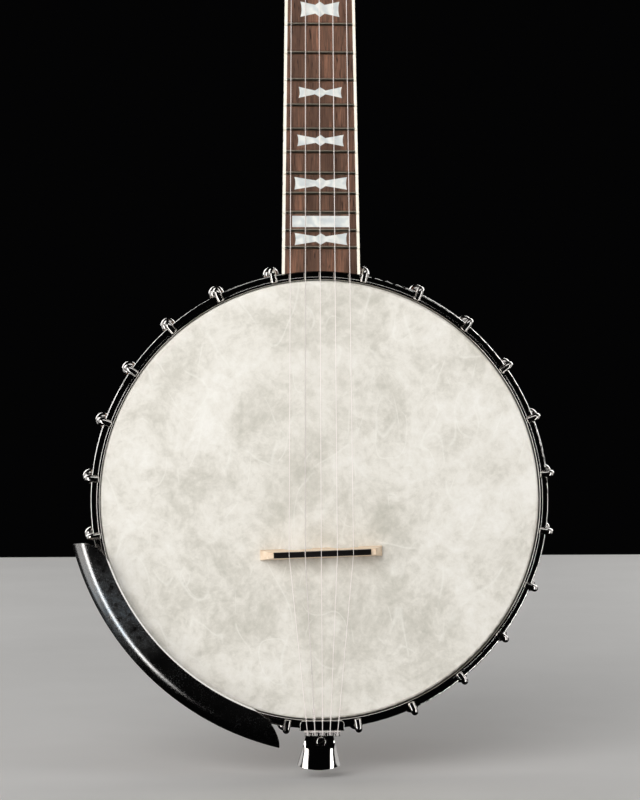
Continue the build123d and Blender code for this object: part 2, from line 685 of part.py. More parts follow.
with BuildPart() as fingerboard_binding:
    with BuildSketch(board_plane(0)) as binding_sketch:
        with BuildLine():
            board_outline(0.0)
        make_face()
        with BuildSketch(board_plane(0), mode=Mode.PRIVATE) as inner_board:
            with BuildLine():
                board_outline(BINDING)
            make_face()
        add(inner_board.sketch_local, mode=Mode.SUBTRACT)
    extrude(amount=-BOARD_THICK)
    add(hoop_relief.part, mode=Mode.SUBTRACT)
    # the binding stands up over each fret's two ends
    for n in range(1, FRET_COUNT + 1):
        s = fret_s(n)
        outer_left = max(left_edge(s - NIB_HALF), left_edge(s), left_edge(s + NIB_HALF)) + 0.04
        outer_right = min(right_edge(s - NIB_HALF), right_edge(s + NIB_HALF)) - 0.04
        for start, run in ((outer_left, left_edge(s) + BINDING - outer_left), (outer_right, right_edge(s) - BINDING - outer_right)):
            with BuildSketch(neck_side(start, s, 0)):
                with BuildLine():
                    EllipticalCenterArc((0, 0), NIB_HALF, NIB_TALL, start_angle=0, arc_size=180)
                    Line((-NIB_HALF, 0), (NIB_HALF, 0))
                make_face()
            extrude(amount=run)
    with BuildSketch(board_plane(-2)):
        with Locations((-17.5, PIP_S)):
            Circle(1.3)
    extrude(amount=-6.0, mode=Mode.SUBTRACT)
    with BuildSketch(neck_side(-4.0, FIFTH_S, FIFTH_W)):
        Circle(2.6)
    extrude(amount=-30.0, mode=Mode.SUBTRACT)
fingerboard_binding.part.label = "fingerboard_binding"

with BuildPart() as nut:
    xl, xr = left_edge(NUT_S), right_edge(NUT_S)
    with BuildSketch(neck_side(xl, NUT_S, 0)):
        with BuildLine():
            Polyline((0, -BOARD_THICK), (0, 2.3), (1.2, 2.3), (2.3, 0.9), (NUT_LENGTH, 0.2), (NUT_LENGTH, -BOARD_THICK), close=True)
        make_face()
    extrude(amount=xr - xl)
    for radius, across, _slot, _tail in (STRINGS["string_1"], STRINGS["string_2"], STRINGS["string_3"], STRINGS["string_4"]):
        with BuildSketch(neck_section(NUT_S - 2)):
            with Locations((across, -2.0 - STRING_OVER_NUT + 0.03)):
                Rectangle(2 * radius + 0.26, 4.0)
        extrude(amount=12.0, mode=Mode.SUBTRACT)
nut.part.label = "nut"

with BuildPart() as fifth_string_nut:
    with BuildSketch(board_plane(4.0)):
        with Locations((-17.5, PIP_S)):
            Circle(1.3)
    extrude(amount=4.0)
    with BuildSketch(board_plane(0.0)):
        with Locations((-17.5, PIP_S)):
            Circle(1.7)
    extrude(amount=4.0)
    fillet(fifth_string_nut.faces().sort_by(Axis.Y)[0].edges(), 0.4)
    # slot, open to the peg's side behind the point where the string turns
    with BuildSketch(neck_section(316.0)):
        with Locations((-17.5, -4.0 - PIP_STRING + 0.125 + 0.03)):
            Rectangle(0.45, 8.0)
    extrude(amount=14.0, mode=Mode.SUBTRACT)
    with BuildSketch(neck_section(PIP_S + 1.0)):
        with Locations((-17.5, -4.0 - PIP_STRING + 0.7)):
            Rectangle(6.0, 8.0)
    extrude(amount=4.0, mode=Mode.SUBTRACT)
fifth_string_nut.part.label = "fifth_string_nut"

# ---------------------------------------------------------------------------
# Peghead overlay, truss rod and its cover
# ---------------------------------------------------------------------------
with BuildPart() as headstock_overlay:
    with BuildSketch(peg_plane(PEGHEAD_X, 0, 0)):
        with BuildLine():
            peg_outline_wire()
        make_face()
    extrude(amount=-OVERLAY)
    with BuildSketch(neck_section(NUT_S - 10)):
        with Locations((0, 0)):
            Rectangle(90.0, 60.0)
    extrude(amount=10 + NUT_LENGTH, mode=Mode.SUBTRACT)
    for across, up, _side in POSTS.values():
        with BuildSketch(peg_plane(across, up, -4)):
            Circle(5.0)
        extrude(amount=-30.0, mode=Mode.SUBTRACT)
    with BuildSketch(peg_plane(PEGHEAD_X, 0, -1)):
        with Locations((-2.0, 15.5)):
            SlotOverall(18.0, 8.0, rotation=90)
    extrude(amount=-12.2, mode=Mode.SUBTRACT)
    for across, up in ((0.0, 32.0), (-8.0, 7.0), (8.0, 7.0)):
        with BuildSketch(peg_plane(PEGHEAD_X + across, up, 1)):
            Circle(0.9)
        extrude(amount=-7.0, both=True, mode=Mode.SUBTRACT)
headstock_overlay.part.label = "headstock_overlay"

with BuildPart() as truss_rod:
    with BuildSketch(neck_section(24.0)):
        with Locations((0.4, 11.2)):
            Circle(2.4)
    extrude(amount=473.0)
    with BuildSketch(neck_section(497.0)):
        with Locations((0.4, 11.2)):
            RegularPolygon(2.5, 6)
    extrude(amount=6.0)
truss_rod.part.label = "truss_rod"

with BuildPart() as truss_rod_cover:
    with BuildSketch(peg_plane(PEGHEAD_X, 0, 0)):
        with BuildLine():
            Line((-11.0, 4.0), (11.0, 4.0))
            Spline((11.0, 4.0), (9.6, 14.0), (5.0, 24.0), (3.2, 33.0), tangents=[(0, 1), (0, 1)])
            ThreePointArc((3.2, 33.0), (0, 36.0), (-3.2, 33.0))
            Spline((-3.2, 33.0), (-5.0, 24.0), (-9.6, 14.0), (-11.0, 4.0), tangents=[(0, -1), (0, -1)])
        make_face()
        with Locations((0.0, 32.0), (-8.0, 7.0), (8.0, 7.0)):
            Circle(1.2, mode=Mode.SUBTRACT)
    extrude(amount=1.4)
truss_rod_cover.part.label = "truss_rod_cover"

with BuildPart() as truss_cover_screws:
    for across, up in ((0.0, 32.0), (-8.0, 7.0), (8.0, 7.0)):
        with BuildSketch(peg_plane(PEGHEAD_X + across, up, -1.4)):
            Circle(1.9)
        extrude(amount=0.9)
        with BuildSketch(peg_plane(PEGHEAD_X + across, up, -1.4)):
            Circle(0.9)
        extrude(amount=-8.0)
        with BuildSketch(peg_plane(PEGHEAD_X + across, up, -2.3)):
            Rectangle(4.2, 0.5)
        extrude(amount=-0.45, mode=Mode.SUBTRACT)
truss_cover_screws.part.label = "truss_cover_screws"

# ---------------------------------------------------------------------------
# Four planetary tuners and the fifth-string peg
# ---------------------------------------------------------------------------


def tuner_case(across, up):
    """Sealed gear case behind the peghead with its threaded bushing."""
    with BuildPart() as case:
        with BuildSketch(peg_plane(across, up, PEGHEAD_THICK)):
            Circle(9.0)
        extrude(amount=-1.6)
        with BuildSketch(peg_plane(across, up, PEGHEAD_THICK + 1.6)):
            Circle(7.6)
        extrude(amount=-15.4)
        fillet(case.edges().filter_by(GeomType.CIRCLE).sort_by(Axis.Y)[-1], 1.6)
        with BuildSketch(peg_plane(across, up, -4.2)):
            Circle(5.0)
        extrude(amount=-(PEGHEAD_THICK + 4.2))
        with BuildSketch(peg_plane(across, up, -6)):
            Circle(POST_BORE)
        extrude(amount=-(6 + PEGHEAD_THICK + 7.0), mode=Mode.SUBTRACT)
        with BuildSketch(peg_plane(across, up, PEGHEAD_THICK + 5)):
            Circle(SHAFT_BORE)
        extrude(amount=-16.0, mode=Mode.SUBTRACT)
    return case


def tuner_post(across, up):
    """Turned string post with a waist and a string hole."""
    with BuildPart() as post:
        with BuildSketch(peg_plane(across, up, PEGHEAD_THICK + 6.8)):
            Circle(POST_R)
        extrude(amount=PEGHEAD_THICK + 6.8 + 7.0)
        with BuildSketch(peg_plane(across, up, -7.0)):
            Circle(POST_R)
        with BuildSketch(peg_plane(across, up, -10.5)):
            Circle(POST_R - 0.55)
        with BuildSketch(peg_plane(across, up, -14.0)):
            Circle(POST_R)
        loft(ruled=True)
        with BuildSketch(peg_plane(across, up, -14.0)):
            Circle(POST_R)
        extrude(amount=3.5)
        fillet(post.edges().filter_by(GeomType.CIRCLE).sort_by(Axis.Y)[0], 0.8)
        with BuildSketch(Plane(origin=peg_point(across - 5, up, -11.0), x_dir=ALONG_H, z_dir=(1, 0, 0))):
            Circle(0.7)
        extrude(amount=10.0, mode=Mode.SUBTRACT)
    return post


def tuner_button(across, up):
    """Oval button on its input shaft."""
    with BuildPart() as button:
        with BuildSketch(peg_plane(across, up, PEGHEAD_THICK + 7.2)):
            Circle(SHAFT_R)
        extrude(amount=-14.0)
        with BuildSketch(peg_plane(across, up, PEGHEAD_THICK + 17.6)):
            Circle(4.2)
        with BuildSketch(peg_plane(across, up, PEGHEAD_THICK + 20.2)):
            Ellipse(8.0, 4.6)
        with BuildSketch(peg_plane(across, up, PEGHEAD_THICK + 25.0)):
            Ellipse(9.5, 5.0)
        with BuildSketch(peg_plane(across, up, PEGHEAD_THICK + 29.5)):
            Ellipse(8.6, 4.6)
        loft()
        fillet(button.faces().sort_by(Axis.Y)[-1].edges(), 1.0)
        with BuildSketch(peg_plane(across, up, PEGHEAD_THICK + 24.0)):
            Circle(1.3)
        extrude(amount=-8.0, mode=Mode.SUBTRACT)
    return button


def tuner_screw(across, up):
    """Screw that holds the button on its shaft."""
    with BuildPart() as screw:
        with BuildSketch(peg_plane(across, up, PEGHEAD_THICK + 24.0)):
            Circle(1.3)
        extrude(amount=-5.5)
        with BuildSketch(peg_plane(across, up, PEGHEAD_THICK + 29.5)):
            Circle(2.6)
        extrude(amount=-1.3)
        fillet(screw.edges().filter_by(GeomType.CIRCLE).sort_by(Axis.Y)[-1], 0.6)
        with BuildSketch(peg_plane(across, up, PEGHEAD_THICK + 30.8)):
            Rectangle(6.0, 0.7)
        extrude(amount=0.6, mode=Mode.SUBTRACT)
    return screw


tuner_parts = {}
for number, (across, up, _side) in POSTS.items():
    for kind, maker in (("housing", tuner_case), ("post", tuner_post), ("button", tuner_button), ("screw", tuner_screw)):
        name = f"tuner_{number}_{kind}"
        made = maker(across, up)
        made.part.label = name
        tuner_parts[name] = made

with BuildPart() as tuner_nuts:
    for across, up, _side in POSTS.values():
        with BuildSketch(peg_plane(across, up, 0)):
            Circle(7.6)
            Circle(5.0, mode=Mode.SUBTRACT)
        extrude(amount=0.8)
        with BuildSketch(peg_plane(across, up, -0.8)):
            RegularPolygon(7.0, 6)
            Circle(5.0, mode=Mode.SUBTRACT)
        extrude(amount=2.8)
tuner_nuts.part.label = "tuner_nuts"

# fifth peg: axis across the neck, everything placed from its side
FIFTH_SIDE = -20.3        # where the peg's collar meets the side of the neck


def fifth_plane(x):
    """Plane facing away from the neck on its left side, at x."""
    return Plane(origin=neck_point(x, FIFTH_S, FIFTH_W), x_dir=ALONG, z_dir=(-1, 0, 0))


with BuildPart() as fifth_tuner_housing:
    with BuildSketch(fifth_plane(-8.0)):
        Circle(2.6)
    extrude(amount=-FIFTH_SIDE - 8.0)
    with BuildSketch(fifth_plane(FIFTH_SIDE)):
        Circle(4.9)
    extrude(amount=5.4)
    with BuildSketch(fifth_plane(FIFTH_SIDE - 5.4)):
        Circle(7.0)
    extrude(amount=14.0)
    fillet(fifth_tuner_housing.edges().filter_by(GeomType.CIRCLE).sort_by(Axis.X)[0], 1.4)
    # window through which the string reaches the post
    with BuildSketch(Plane(origin=neck_point(FIFTH_SIDE - 2.9, FIFTH_S, FIFTH_W), x_dir=(1, 0, 0), z_dir=ALONG)):
        with Locations((0, -4.0)):
            Rectangle(3.6, 10.0)
    extrude(amount=8.0, both=True, mode=Mode.SUBTRACT)
    # chamber for the windings
    with BuildSketch(fifth_plane(FIFTH_SIDE - 1.1)):
        Circle(3.1)
    extrude(amount=3.6, mode=Mode.SUBTRACT)
    with BuildSketch(fifth_plane(FIFTH_SIDE - 0.4)):
        Circle(2.3 + 0.08)
    extrude(amount=12.0, mode=Mode.SUBTRACT)
    with BuildSketch(fifth_plane(FIFTH_SIDE - 11.0)):
        Circle(1.9 + 0.08)
    extrude(amount=12.0, mode=Mode.SUBTRACT)
fifth_tuner_housing.part.label = "fifth_tuner_housing"

with BuildPart() as fifth_tuner_post:
    with BuildSketch(fifth_plane(FIFTH_SIDE - 0.5)):
        Circle(2.3)
    extrude(amount=11.7)
    with BuildSketch(Plane(origin=neck_point(FIFTH_SIDE - 2.9, FIFTH_S, FIFTH_W - 4), x_dir=(1, 0, 0), z_dir=BACK)):
        Circle(0.5)
    extrude(amount=8.0, mode=Mode.SUBTRACT)
fifth_tuner_post.part.label = "fifth_tuner_post"

with BuildPart() as fifth_tuner_button:
    with BuildSketch(fifth_plane(FIFTH_SIDE - 12.6)):
        Circle(1.9)
    extrude(amount=9.0)
    with BuildSketch(fifth_plane(FIFTH_SIDE - 20.4)):
        Circle(3.6)
    with BuildSketch(fifth_plane(FIFTH_SIDE - 22.6)):
        Ellipse(7.0, 4.2)
    with BuildSketch(fifth_plane(FIFTH_SIDE - 27.0)):
        Ellipse(8.4, 4.6)
    with BuildSketch(fifth_plane(FIFTH_SIDE - 31.0)):
        Ellipse(7.4, 4.2)
    loft()
    fillet(fifth_tuner_button.faces().sort_by(Axis.X)[0].edges(), 1.0)
fifth_tuner_button.part.label = "fifth_tuner_button"

# ---------------------------------------------------------------------------
# Bridge
# ---------------------------------------------------------------------------
BT = radians(BRIDGE_TURN)
BRIDGE_LONG = Vector(cos(BT), 0, sin(BT))
BRIDGE_ORIGIN = pot_point(BRIDGE_X, 0, BRIDGE_Z)
BRIDGE_FACE = Plane(origin=BRIDGE_ORIGIN, x_dir=BRIDGE_LONG, z_dir=BRIDGE_LONG.cross(Vector(0, -1, 0)))
BRIDGE_SIDE = Plane(origin=BRIDGE_ORIGIN, x_dir=Vector(0, -1, 0).cross(BRIDGE_LONG), z_dir=BRIDGE_LONG)


def bridge_point(u, h):
    return BRIDGE_ORIGIN + BRIDGE_LONG * u + Vector(0, -1, 0) * h


CAP_BASE = 13.6
with BuildPart() as bridge_body:
    with BuildSketch(BRIDGE_FACE):
        with BuildLine():
            Line((-39.2, 0), (-24.0, 0))
            Spline((-24.0, 0), (-22.0, 4.2), (-15.0, 6.4), (-8.2, 4.2), (-5.8, 0), tangents=[(0, 1), (0, -1)])
            Line((-5.8, 0), (5.8, 0))
            Spline((5.8, 0), (8.2, 4.2), (15.0, 6.4), (22.0, 4.2), (24.0, 0), tangents=[(0, 1), (0, -1)])
            Line((24.0, 0), (39.2, 0))
            Spline((39.2, 0), (38.4, 4.5), (35.2, 10.0), (34.2, CAP_BASE), tangents=[(0, 1), (0, 1)])
            Line((34.2, CAP_BASE), (-34.2, CAP_BASE))
            Spline((-34.2, CAP_BASE), (-35.2, 10.0), (-38.4, 4.5), (-39.2, 0), tangents=[(0, -1), (0, -1)])
        make_face()
    extrude(amount=3.25, both=True)
    # both faces taper towards the top, which leans a little up the neck
    for side, top in ((1, 2.3), (-1, -1.5)):
        with BuildSketch(BRIDGE_SIDE.offset(-45.0)):
            with BuildLine():
                Polyline((side * 3.25, 2.0), (top, CAP_BASE), (top, 20.0), (side * 6.0, 20.0), (side * 6.0, 2.0), close=True)
            make_face()
        extrude(amount=90.0, mode=Mode.SUBTRACT)
bridge_body.part.label = "bridge_body"

with BuildPart() as bridge_cap:
    with BuildSketch(BRIDGE_SIDE.offset(-31.0)):
        with BuildLine():
            Polyline((-1.5, CAP_BASE), (2.3, CAP_BASE), (2.15, BRIDGE_HEIGHT), (-1.35, BRIDGE_HEIGHT), close=True)
        make_face()
    extrude(amount=62.0)
    for radius, _across, slot, _tail in STRINGS.values():
        with BuildSketch(BRIDGE_FACE.offset(-5.0)):
            with Locations((SLOT_X + slot * STRING_PITCH, STRING_HEIGHT - radius - 0.06 + 2.0)):
                Rectangle(2 * radius + 0.14, 4.0)
        extrude(amount=10.0, mode=Mode.SUBTRACT)
bridge_cap.part.label = "bridge_cap"

# ---------------------------------------------------------------------------
# Tailpiece, its bolt and the bracket that carries it
# ---------------------------------------------------------------------------
TAIL_BAR_FRONT = -5.6
BAR_X = 0.6               # the bar and its prongs line up with the strings
BELL_X = -0.9
with BuildPart() as tailpiece_body:
    with BuildSketch(facing(HOOP_LIP_FRONT - 0.1)):
        with BuildLine():
            Polyline((BAR_X - 14.3, -147.6), (BAR_X - 14.3, -141.0), (BAR_X + 14.3, -141.0), (BAR_X + 14.3, -147.6), close=True)
        make_face()
        fillet(vertices().group_by(Axis.Y)[-1], 2.6)
    extrude(amount=-TAIL_BAR_FRONT + HOOP_LIP_FRONT - 0.1)
    fillet(tailpiece_body.faces().sort_by(Axis.Y)[0].edges(), 0.6)
    # plate that carries the screw, then the flared bell below it
    with BuildSketch(facing(-1.6)):
        with Locations((BELL_X, -153.0)):
            Rectangle(18.0, 12.4)
    extrude(amount=1.8)
    bell = (
        (-152.0, -2.3, 9.1, 0.4, 0.0),
        (-156.6, -0.4, 10.1, 3.4, 8.0),
        (-162.0, 1.5, 11.5, 5.0, 15.0),
        (-171.0, 5.0, 13.8, 5.8, 22.5),
    )
    for z, depth, half, crown, turn in bell:
        a = radians(turn)
        # local x across, local y outwards from the pot along the plate's normal
        outward = Vector(0, -cos(a), -sin(a))
        with BuildSketch(Plane(origin=pot_point(BELL_X, depth, z), x_dir=(1, 0, 0), z_dir=Vector(1, 0, 0).cross(outward))):
            with BuildLine():
                ThreePointArc((-half, 0.7), (0, 0.7 + crown), (half, 0.7))
                Line((half, 0.7), (half, -0.7))
                ThreePointArc((half, -0.7), (0, -0.7 + crown), (-half, -0.7))
                Line((-half, -0.7), (-half, 0.7))
            make_face()
    loft()
    # round seat for the hanger bolt's washer
    with BuildSketch(facing(-3.4)):
        with Locations((0, -TAIL_SCREW_R)):
            Circle(4.9)
    extrude(amount=6.0, mode=Mode.SUBTRACT)
    # five pairs of prongs below the bar
    for k in range(-2, 3):
        for shift in (-1.1, 1.1):
            start = pot_point(BAR_X + 0.2 + k * 4.8 + shift, -4.5, -147.0)
            with BuildSketch(Plane(origin=start, x_dir=(1, 0, 0), z_dir=Vector(0, -0.45, -1))):
                Circle(0.75)
            extrude(amount=4.2)
    # hole of the hanger bolt
    with BuildSketch(facing(-8.0)):
        with Locations((0, -TAIL_SCREW_R)):
            Circle(2.5)
    extrude(amount=-20.0, mode=Mode.SUBTRACT)
tailpiece_body.part.label = "tailpiece_body"

with BuildPart() as tailpiece_bolt:
    with BuildSketch(facing(-3.75)):
        with Locations((0, -TAIL_SCREW_R)):
            Circle(4.4)
    extrude(amount=0.9)
    with BuildSketch(facing(-4.65)):
        with Locations((0, -TAIL_SCREW_R)):
            Circle(3.1)
    extrude(amount=2.2)
    fillet(tailpiece_bolt.edges().filter_by(GeomType.CIRCLE).sort_by(Axis.Y)[0], 1.0)
    with BuildSketch(facing(-6.85)):
        with Locations((0, -TAIL_SCREW_R)):
            Rectangle(8.0, 0.8, rotation=35)
    extrude(amount=-0.9, mode=Mode.SUBTRACT)
    with BuildSketch(facing(-3.75)):
        with Locations((0, -TAIL_SCREW_R)):
            Circle(2.3)
    extrude(amount=-46.0)
tailpiece_bolt.part.label = "tailpiece_bolt"

with BuildPart() as tail_bracket:
    with BuildSketch(up_plane(37.0, -140.0, -1)):
        RectangleRounded(18.0, 34.0, 4.0)
    extrude(amount=2.2)
    with BuildSketch(facing(35.5)):
        with BuildLine():
            Polyline((-7.0, -141.0), (-7.0, -TAIL_SCREW_R), (7.0, -TAIL_SCREW_R), (7.0, -141.0), close=True)
        make_face()
        with Locations((0, -TAIL_SCREW_R)):
            Circle(7.0)
    extrude(amount=-3.0)
    for rod_depth in (ROD_UPPER_DEPTH, ROD_LOWER_DEPTH):
        with BuildSketch(up_plane(rod_depth, -138.2, -1)):
            Circle(LAG_R + 0.15)
        extrude(amount=6.0, mode=Mode.SUBTRACT)
    with BuildSketch(facing(30.0)):
        with Locations((0, -TAIL_SCREW_R)):
            Circle(2.3)
    extrude(amount=-20.0, mode=Mode.SUBTRACT)
tail_bracket.part.label = "tail_bracket"

# ---------------------------------------------------------------------------
# Armrest: a bright curved sheet on two clamped brackets
# ---------------------------------------------------------------------------
ARM_ANGLE = 224.7
ARM_CENTRE = pot_point(16.17, 0, 15.93)   # its arc is flatter than the pot's
ARM_EDGE_CENTRE = (14.77, 15.93)          # inner edge runs nearer to the pot's own arc
AD = Vector(sin(radians(ARM_ANGLE)), 0, cos(radians(ARM_ANGLE)))
ARM_AXIS = Axis(ARM_CENTRE, (0, 1, 0))
ARM_SPAN = 84.0
ARM_START = Vector(sin(radians(ARM_ANGLE - ARM_SPAN / 2)), 0, cos(radians(ARM_ANGLE - ARM_SPAN / 2)))
ARM_PLANE = Plane(origin=ARM_CENTRE, x_dir=ARM_START, z_dir=ARM_START.cross(Vector(0, 1, 0)))
ARM_SHEET = 1.5

# outline of the sheet as looked at square to the head: x, z from the pot centre
ARM_OUTLINE_TOP = [(-160.4, -28.6), (-152.0, -26.4), (-146.4, -27.3), (-141.4, -30.2), (-137.2, -35.0), (-133.0, -42.0), (-128.0, -51.0)]
ARM_OUTLINE_BOTTOM = [(-48.0, -129.0), (-42.0, -133.5), (-36.5, -137.6), (-32.6, -141.6), (-29.4, -147.0), (-27.4, -152.6), (-26.8, -159.4)]

with BuildPart() as arm_cut:
    with BuildSketch(facing(8.0)):
        with BuildLine():
            top = Spline(*ARM_OUTLINE_TOP)
            bottom = Spline(*ARM_OUTLINE_BOTTOM)
            Polyline(top @ 1, (-60.0, -60.0), bottom @ 0)
            Polyline(bottom @ 1, (-60.0, -190.0), (-190.0, -190.0), (-190.0, -60.0), (-166.0, -30.0), top @ 0)
        make_face()
        with Locations(ARM_EDGE_CENTRE):
            Circle(159.3, mode=Mode.SUBTRACT)
    extrude(amount=30.0)

with BuildPart() as armrest:
    with BuildSketch(ARM_PLANE):
        with BuildLine():
            outer = Spline((157.6, -10.9), (166.5, -11.9), (173.0, -10.4), (177.6, -6.2), (180.4, 1.0), tangents=[(1, -0.18), (0.25, 1)])
            inner = Spline((157.6, -10.9 + ARM_SHEET), (166.3, -11.9 + ARM_SHEET), (172.2, -10.4 + ARM_SHEET + 0.15), (176.3, -5.5), (178.95, 1.2), tangents=[(1, -0.18), (0.25, 1)])
            Line(outer @ 0, inner @ 0)
            Line(outer @ 1, inner @ 1)
        make_face()
    revolve(axis=ARM_AXIS, revolution_arc=ARM_SPAN)
    add(arm_cut.part, mode=Mode.INTERSECT)
armrest.part.label = "armrest"

ARM_BRACKET_ANGLES = (239.3, 210.3)


def bracket_frame(angle):
    """Frame at a bracket: out from the pot, along the rim."""
    a = radians(angle)
    out = Vector(sin(a), 0, cos(a))
    return out, out.cross(Vector(0, 1, 0))


with BuildPart() as armrest_brackets:
    for angle in ARM_BRACKET_ANGLES:
        out, tangent = bracket_frame(angle)
        centre = pot_point(0, 0, 0)
        # outer clamp bar
        with BuildSketch(Plane(origin=centre + out * 150.8 + Vector(0, 21.0, 0), x_dir=tangent, z_dir=out)):
            RectangleRounded(46.0, 8.0, 2.0)
        extrude(amount=2.2)
        # riser from the bar to the sheet
        with BuildSketch(Plane(origin=centre + out * 151.9, x_dir=out, z_dir=tangent)) as riser:
            with BuildLine():
                Polyline((-0.6, 24.0), (1.4, 24.0), (1.4, -6.3), (-1.4, -12.0), (-9.0, -12.0), (-9.0, -7.6), (-2.2, -7.6), (-0.6, -5.6), close=True)
            make_face()
        extrude(amount=6.0, both=True)
        # inner clamp bar
        with BuildSketch(Plane(origin=centre + out * 143.9 + Vector(0, 21.4, 0), x_dir=tangent, z_dir=out)):
            RectangleRounded(46.0, 7.4, 2.0)
        extrude(amount=2.4)
        # clearance for the clamp screw
        with BuildSketch(Plane(origin=centre + out * 142.4 + Vector(0, 21.0, 0), x_dir=tangent, z_dir=out)):
            Circle(2.0)
        extrude(amount=14.0, mode=Mode.SUBTRACT)
    # the pads are cut to the underside of the sheet
    with BuildSketch(ARM_PLANE):
        with BuildLine():
            outer = Spline((157.6, -10.9 + ARM_SHEET), (166.3, -11.9 + ARM_SHEET), (172.2, -10.4 + ARM_SHEET + 0.15), (176.3, -5.5), (178.95, 1.2), tangents=[(1, -0.18), (0.25, 1)])
            Polyline(outer @ 1, (190.0, 1.2), (190.0, -20.0), (150.0, -20.0), (150.0, -10.9 + ARM_SHEET), outer @ 0)
        make_face()
    revolve(axis=ARM_AXIS, revolution_arc=ARM_SPAN, mode=Mode.SUBTRACT)
armrest_brackets.part.label = "armrest_brackets"

with BuildPart() as armrest_screws:
    for angle in ARM_BRACKET_ANGLES:
        out, tangent = bracket_frame(angle)
        centre = pot_point(0, 21.0, 0)
        with BuildSketch(Plane(origin=centre + out * 143.2, x_dir=tangent, z_dir=out)):
            Circle(2.0)
        extrude(amount=153.3 - 143.2)
        with BuildSketch(Plane(origin=centre + out * 153.3, x_dir=tangent, z_dir=out)):
            Circle(3.6)
        extrude(amount=2.0)
        with BuildSketch(Plane(origin=centre + out * 155.3, x_dir=tangent, z_dir=-out)):
            Rectangle(8.0, 0.8)
        extrude(amount=0.9, mode=Mode.SUBTRACT)
armrest_screws.part.label = "armrest_screws"

# ---------------------------------------------------------------------------
# Strings, each one straight run after another between its supports
# ---------------------------------------------------------------------------


def string_path(name):
    radius, across, slot, tail = STRINGS[name]
    number = int(name[-1])
    bridge = bridge_point(SLOT_X + slot * STRING_PITCH, STRING_HEIGHT)
    if number == 5:
        saddle = neck_point(across, PIP_S + 1.0, -PIP_STRING)
        start = neck_point(FIFTH_SIDE - 2.9, FIFTH_S, FIFTH_W - 2.3 - radius - 0.35)
    else:
        saddle = neck_point(across, NUT_S + 0.7, -STRING_OVER_NUT - radius)
        px, pt, side = POSTS[number]
        start = peg_point(px + side * (POST_R + radius + 0.35), pt, STRING_WIND)
    bar_depth = TAIL_BAR_FRONT - radius - 0.05
    prong_x = BAR_X + 0.2 + slot * 4.8
    return [
        start,
        saddle,
        bridge,
        pot_point(tail, bar_depth, -141.7),
        pot_point(prong_x + (tail - prong_x) * 0.2, bar_depth, -147.9),
        pot_point(prong_x, bar_depth + 0.3, -150.9),
    ]


string_parts = {}
for name, (radius, _across, _slot, _tail) in STRINGS.items():
    points = string_path(name)
    with BuildPart() as one_string:
        with BuildLine() as run:
            Polyline(*points)
        with BuildSketch(Plane(origin=points[0], z_dir=points[1] - points[0])):
            Circle(radius)
        sweep(transition=Transition.RIGHT)
    one_string.part.label = name
    string_parts[name] = one_string

# ---------------------------------------------------------------------------
# Export
# ---------------------------------------------------------------------------
export_step(rim.part, "parts/rim.step")
export_step(tone_ring.part, "parts/tone_ring.step")
export_step(head.part, "parts/head.step")
export_step(flesh_hoop.part, "parts/flesh_hoop.step")
export_step(tension_hoop.part, "parts/tension_hoop.step")
export_step(bracket_hooks.part, "parts/bracket_hooks.step")
export_step(bracket_shoes.part, "parts/bracket_shoes.step")
export_step(bracket_nuts.part, "parts/bracket_nuts.step")
export_step(shoe_bolts.part, "parts/shoe_bolts.step")
export_step(coordinator_rod_upper.part, "parts/coordinator_rod_upper.step")
export_step(coordinator_rod_lower.part, "parts/coordinator_rod_lower.step")
export_step(rod_nuts.part, "parts/rod_nuts.step")
export_step(neck_lag_bolts.part, "parts/neck_lag_bolts.step")
export_step(rod_end_bolts.part, "parts/rod_end_bolts.step")
export_step(neck.part, "parts/neck.step")
export_step(heel_cap.part, "parts/heel_cap.step")
export_step(fingerboard.part, "parts/fingerboard.step")
export_step(fingerboard_binding.part, "parts/fingerboard_binding.step")
export_step(frets.part, "parts/frets.step")
export_step(position_inlays.part, "parts/position_inlays.step")
export_step(nut.part, "parts/nut.step")
export_step(fifth_string_nut.part, "parts/fifth_string_nut.step")
export_step(headstock_overlay.part, "parts/headstock_overlay.step")
export_step(truss_rod.part, "parts/truss_rod.step")
export_step(truss_rod_cover.part, "parts/truss_rod_cover.step")
export_step(truss_cover_screws.part, "parts/truss_cover_screws.step")
export_step(tuner_nuts.part, "parts/tuner_nuts.step")
for name, made in tuner_parts.items():
    export_step(made.part, f"parts/{name}.step")
export_step(fifth_tuner_housing.part, "parts/fifth_tuner_housing.step")
export_step(fifth_tuner_post.part, "parts/fifth_tuner_post.step")
export_step(fifth_tuner_button.part, "parts/fifth_tuner_button.step")
export_step(bridge_body.part, "parts/bridge_body.step")
export_step(bridge_cap.part, "parts/bridge_cap.step")
export_step(tailpiece_body.part, "parts/tailpiece_body.step")
export_step(tailpiece_bolt.part, "parts/tailpiece_bolt.step")
export_step(tail_bracket.part, "parts/tail_bracket.step")
export_step(armrest.part, "parts/armrest.step")
export_step(armrest_brackets.part, "parts/armrest_brackets.step")
export_step(armrest_screws.part, "parts/armrest_screws.step")
for name, made in string_parts.items():
    export_step(made.part, f"parts/{name}.step")
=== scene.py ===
import json
import math

import bpy
from mathutils import Matrix, Vector


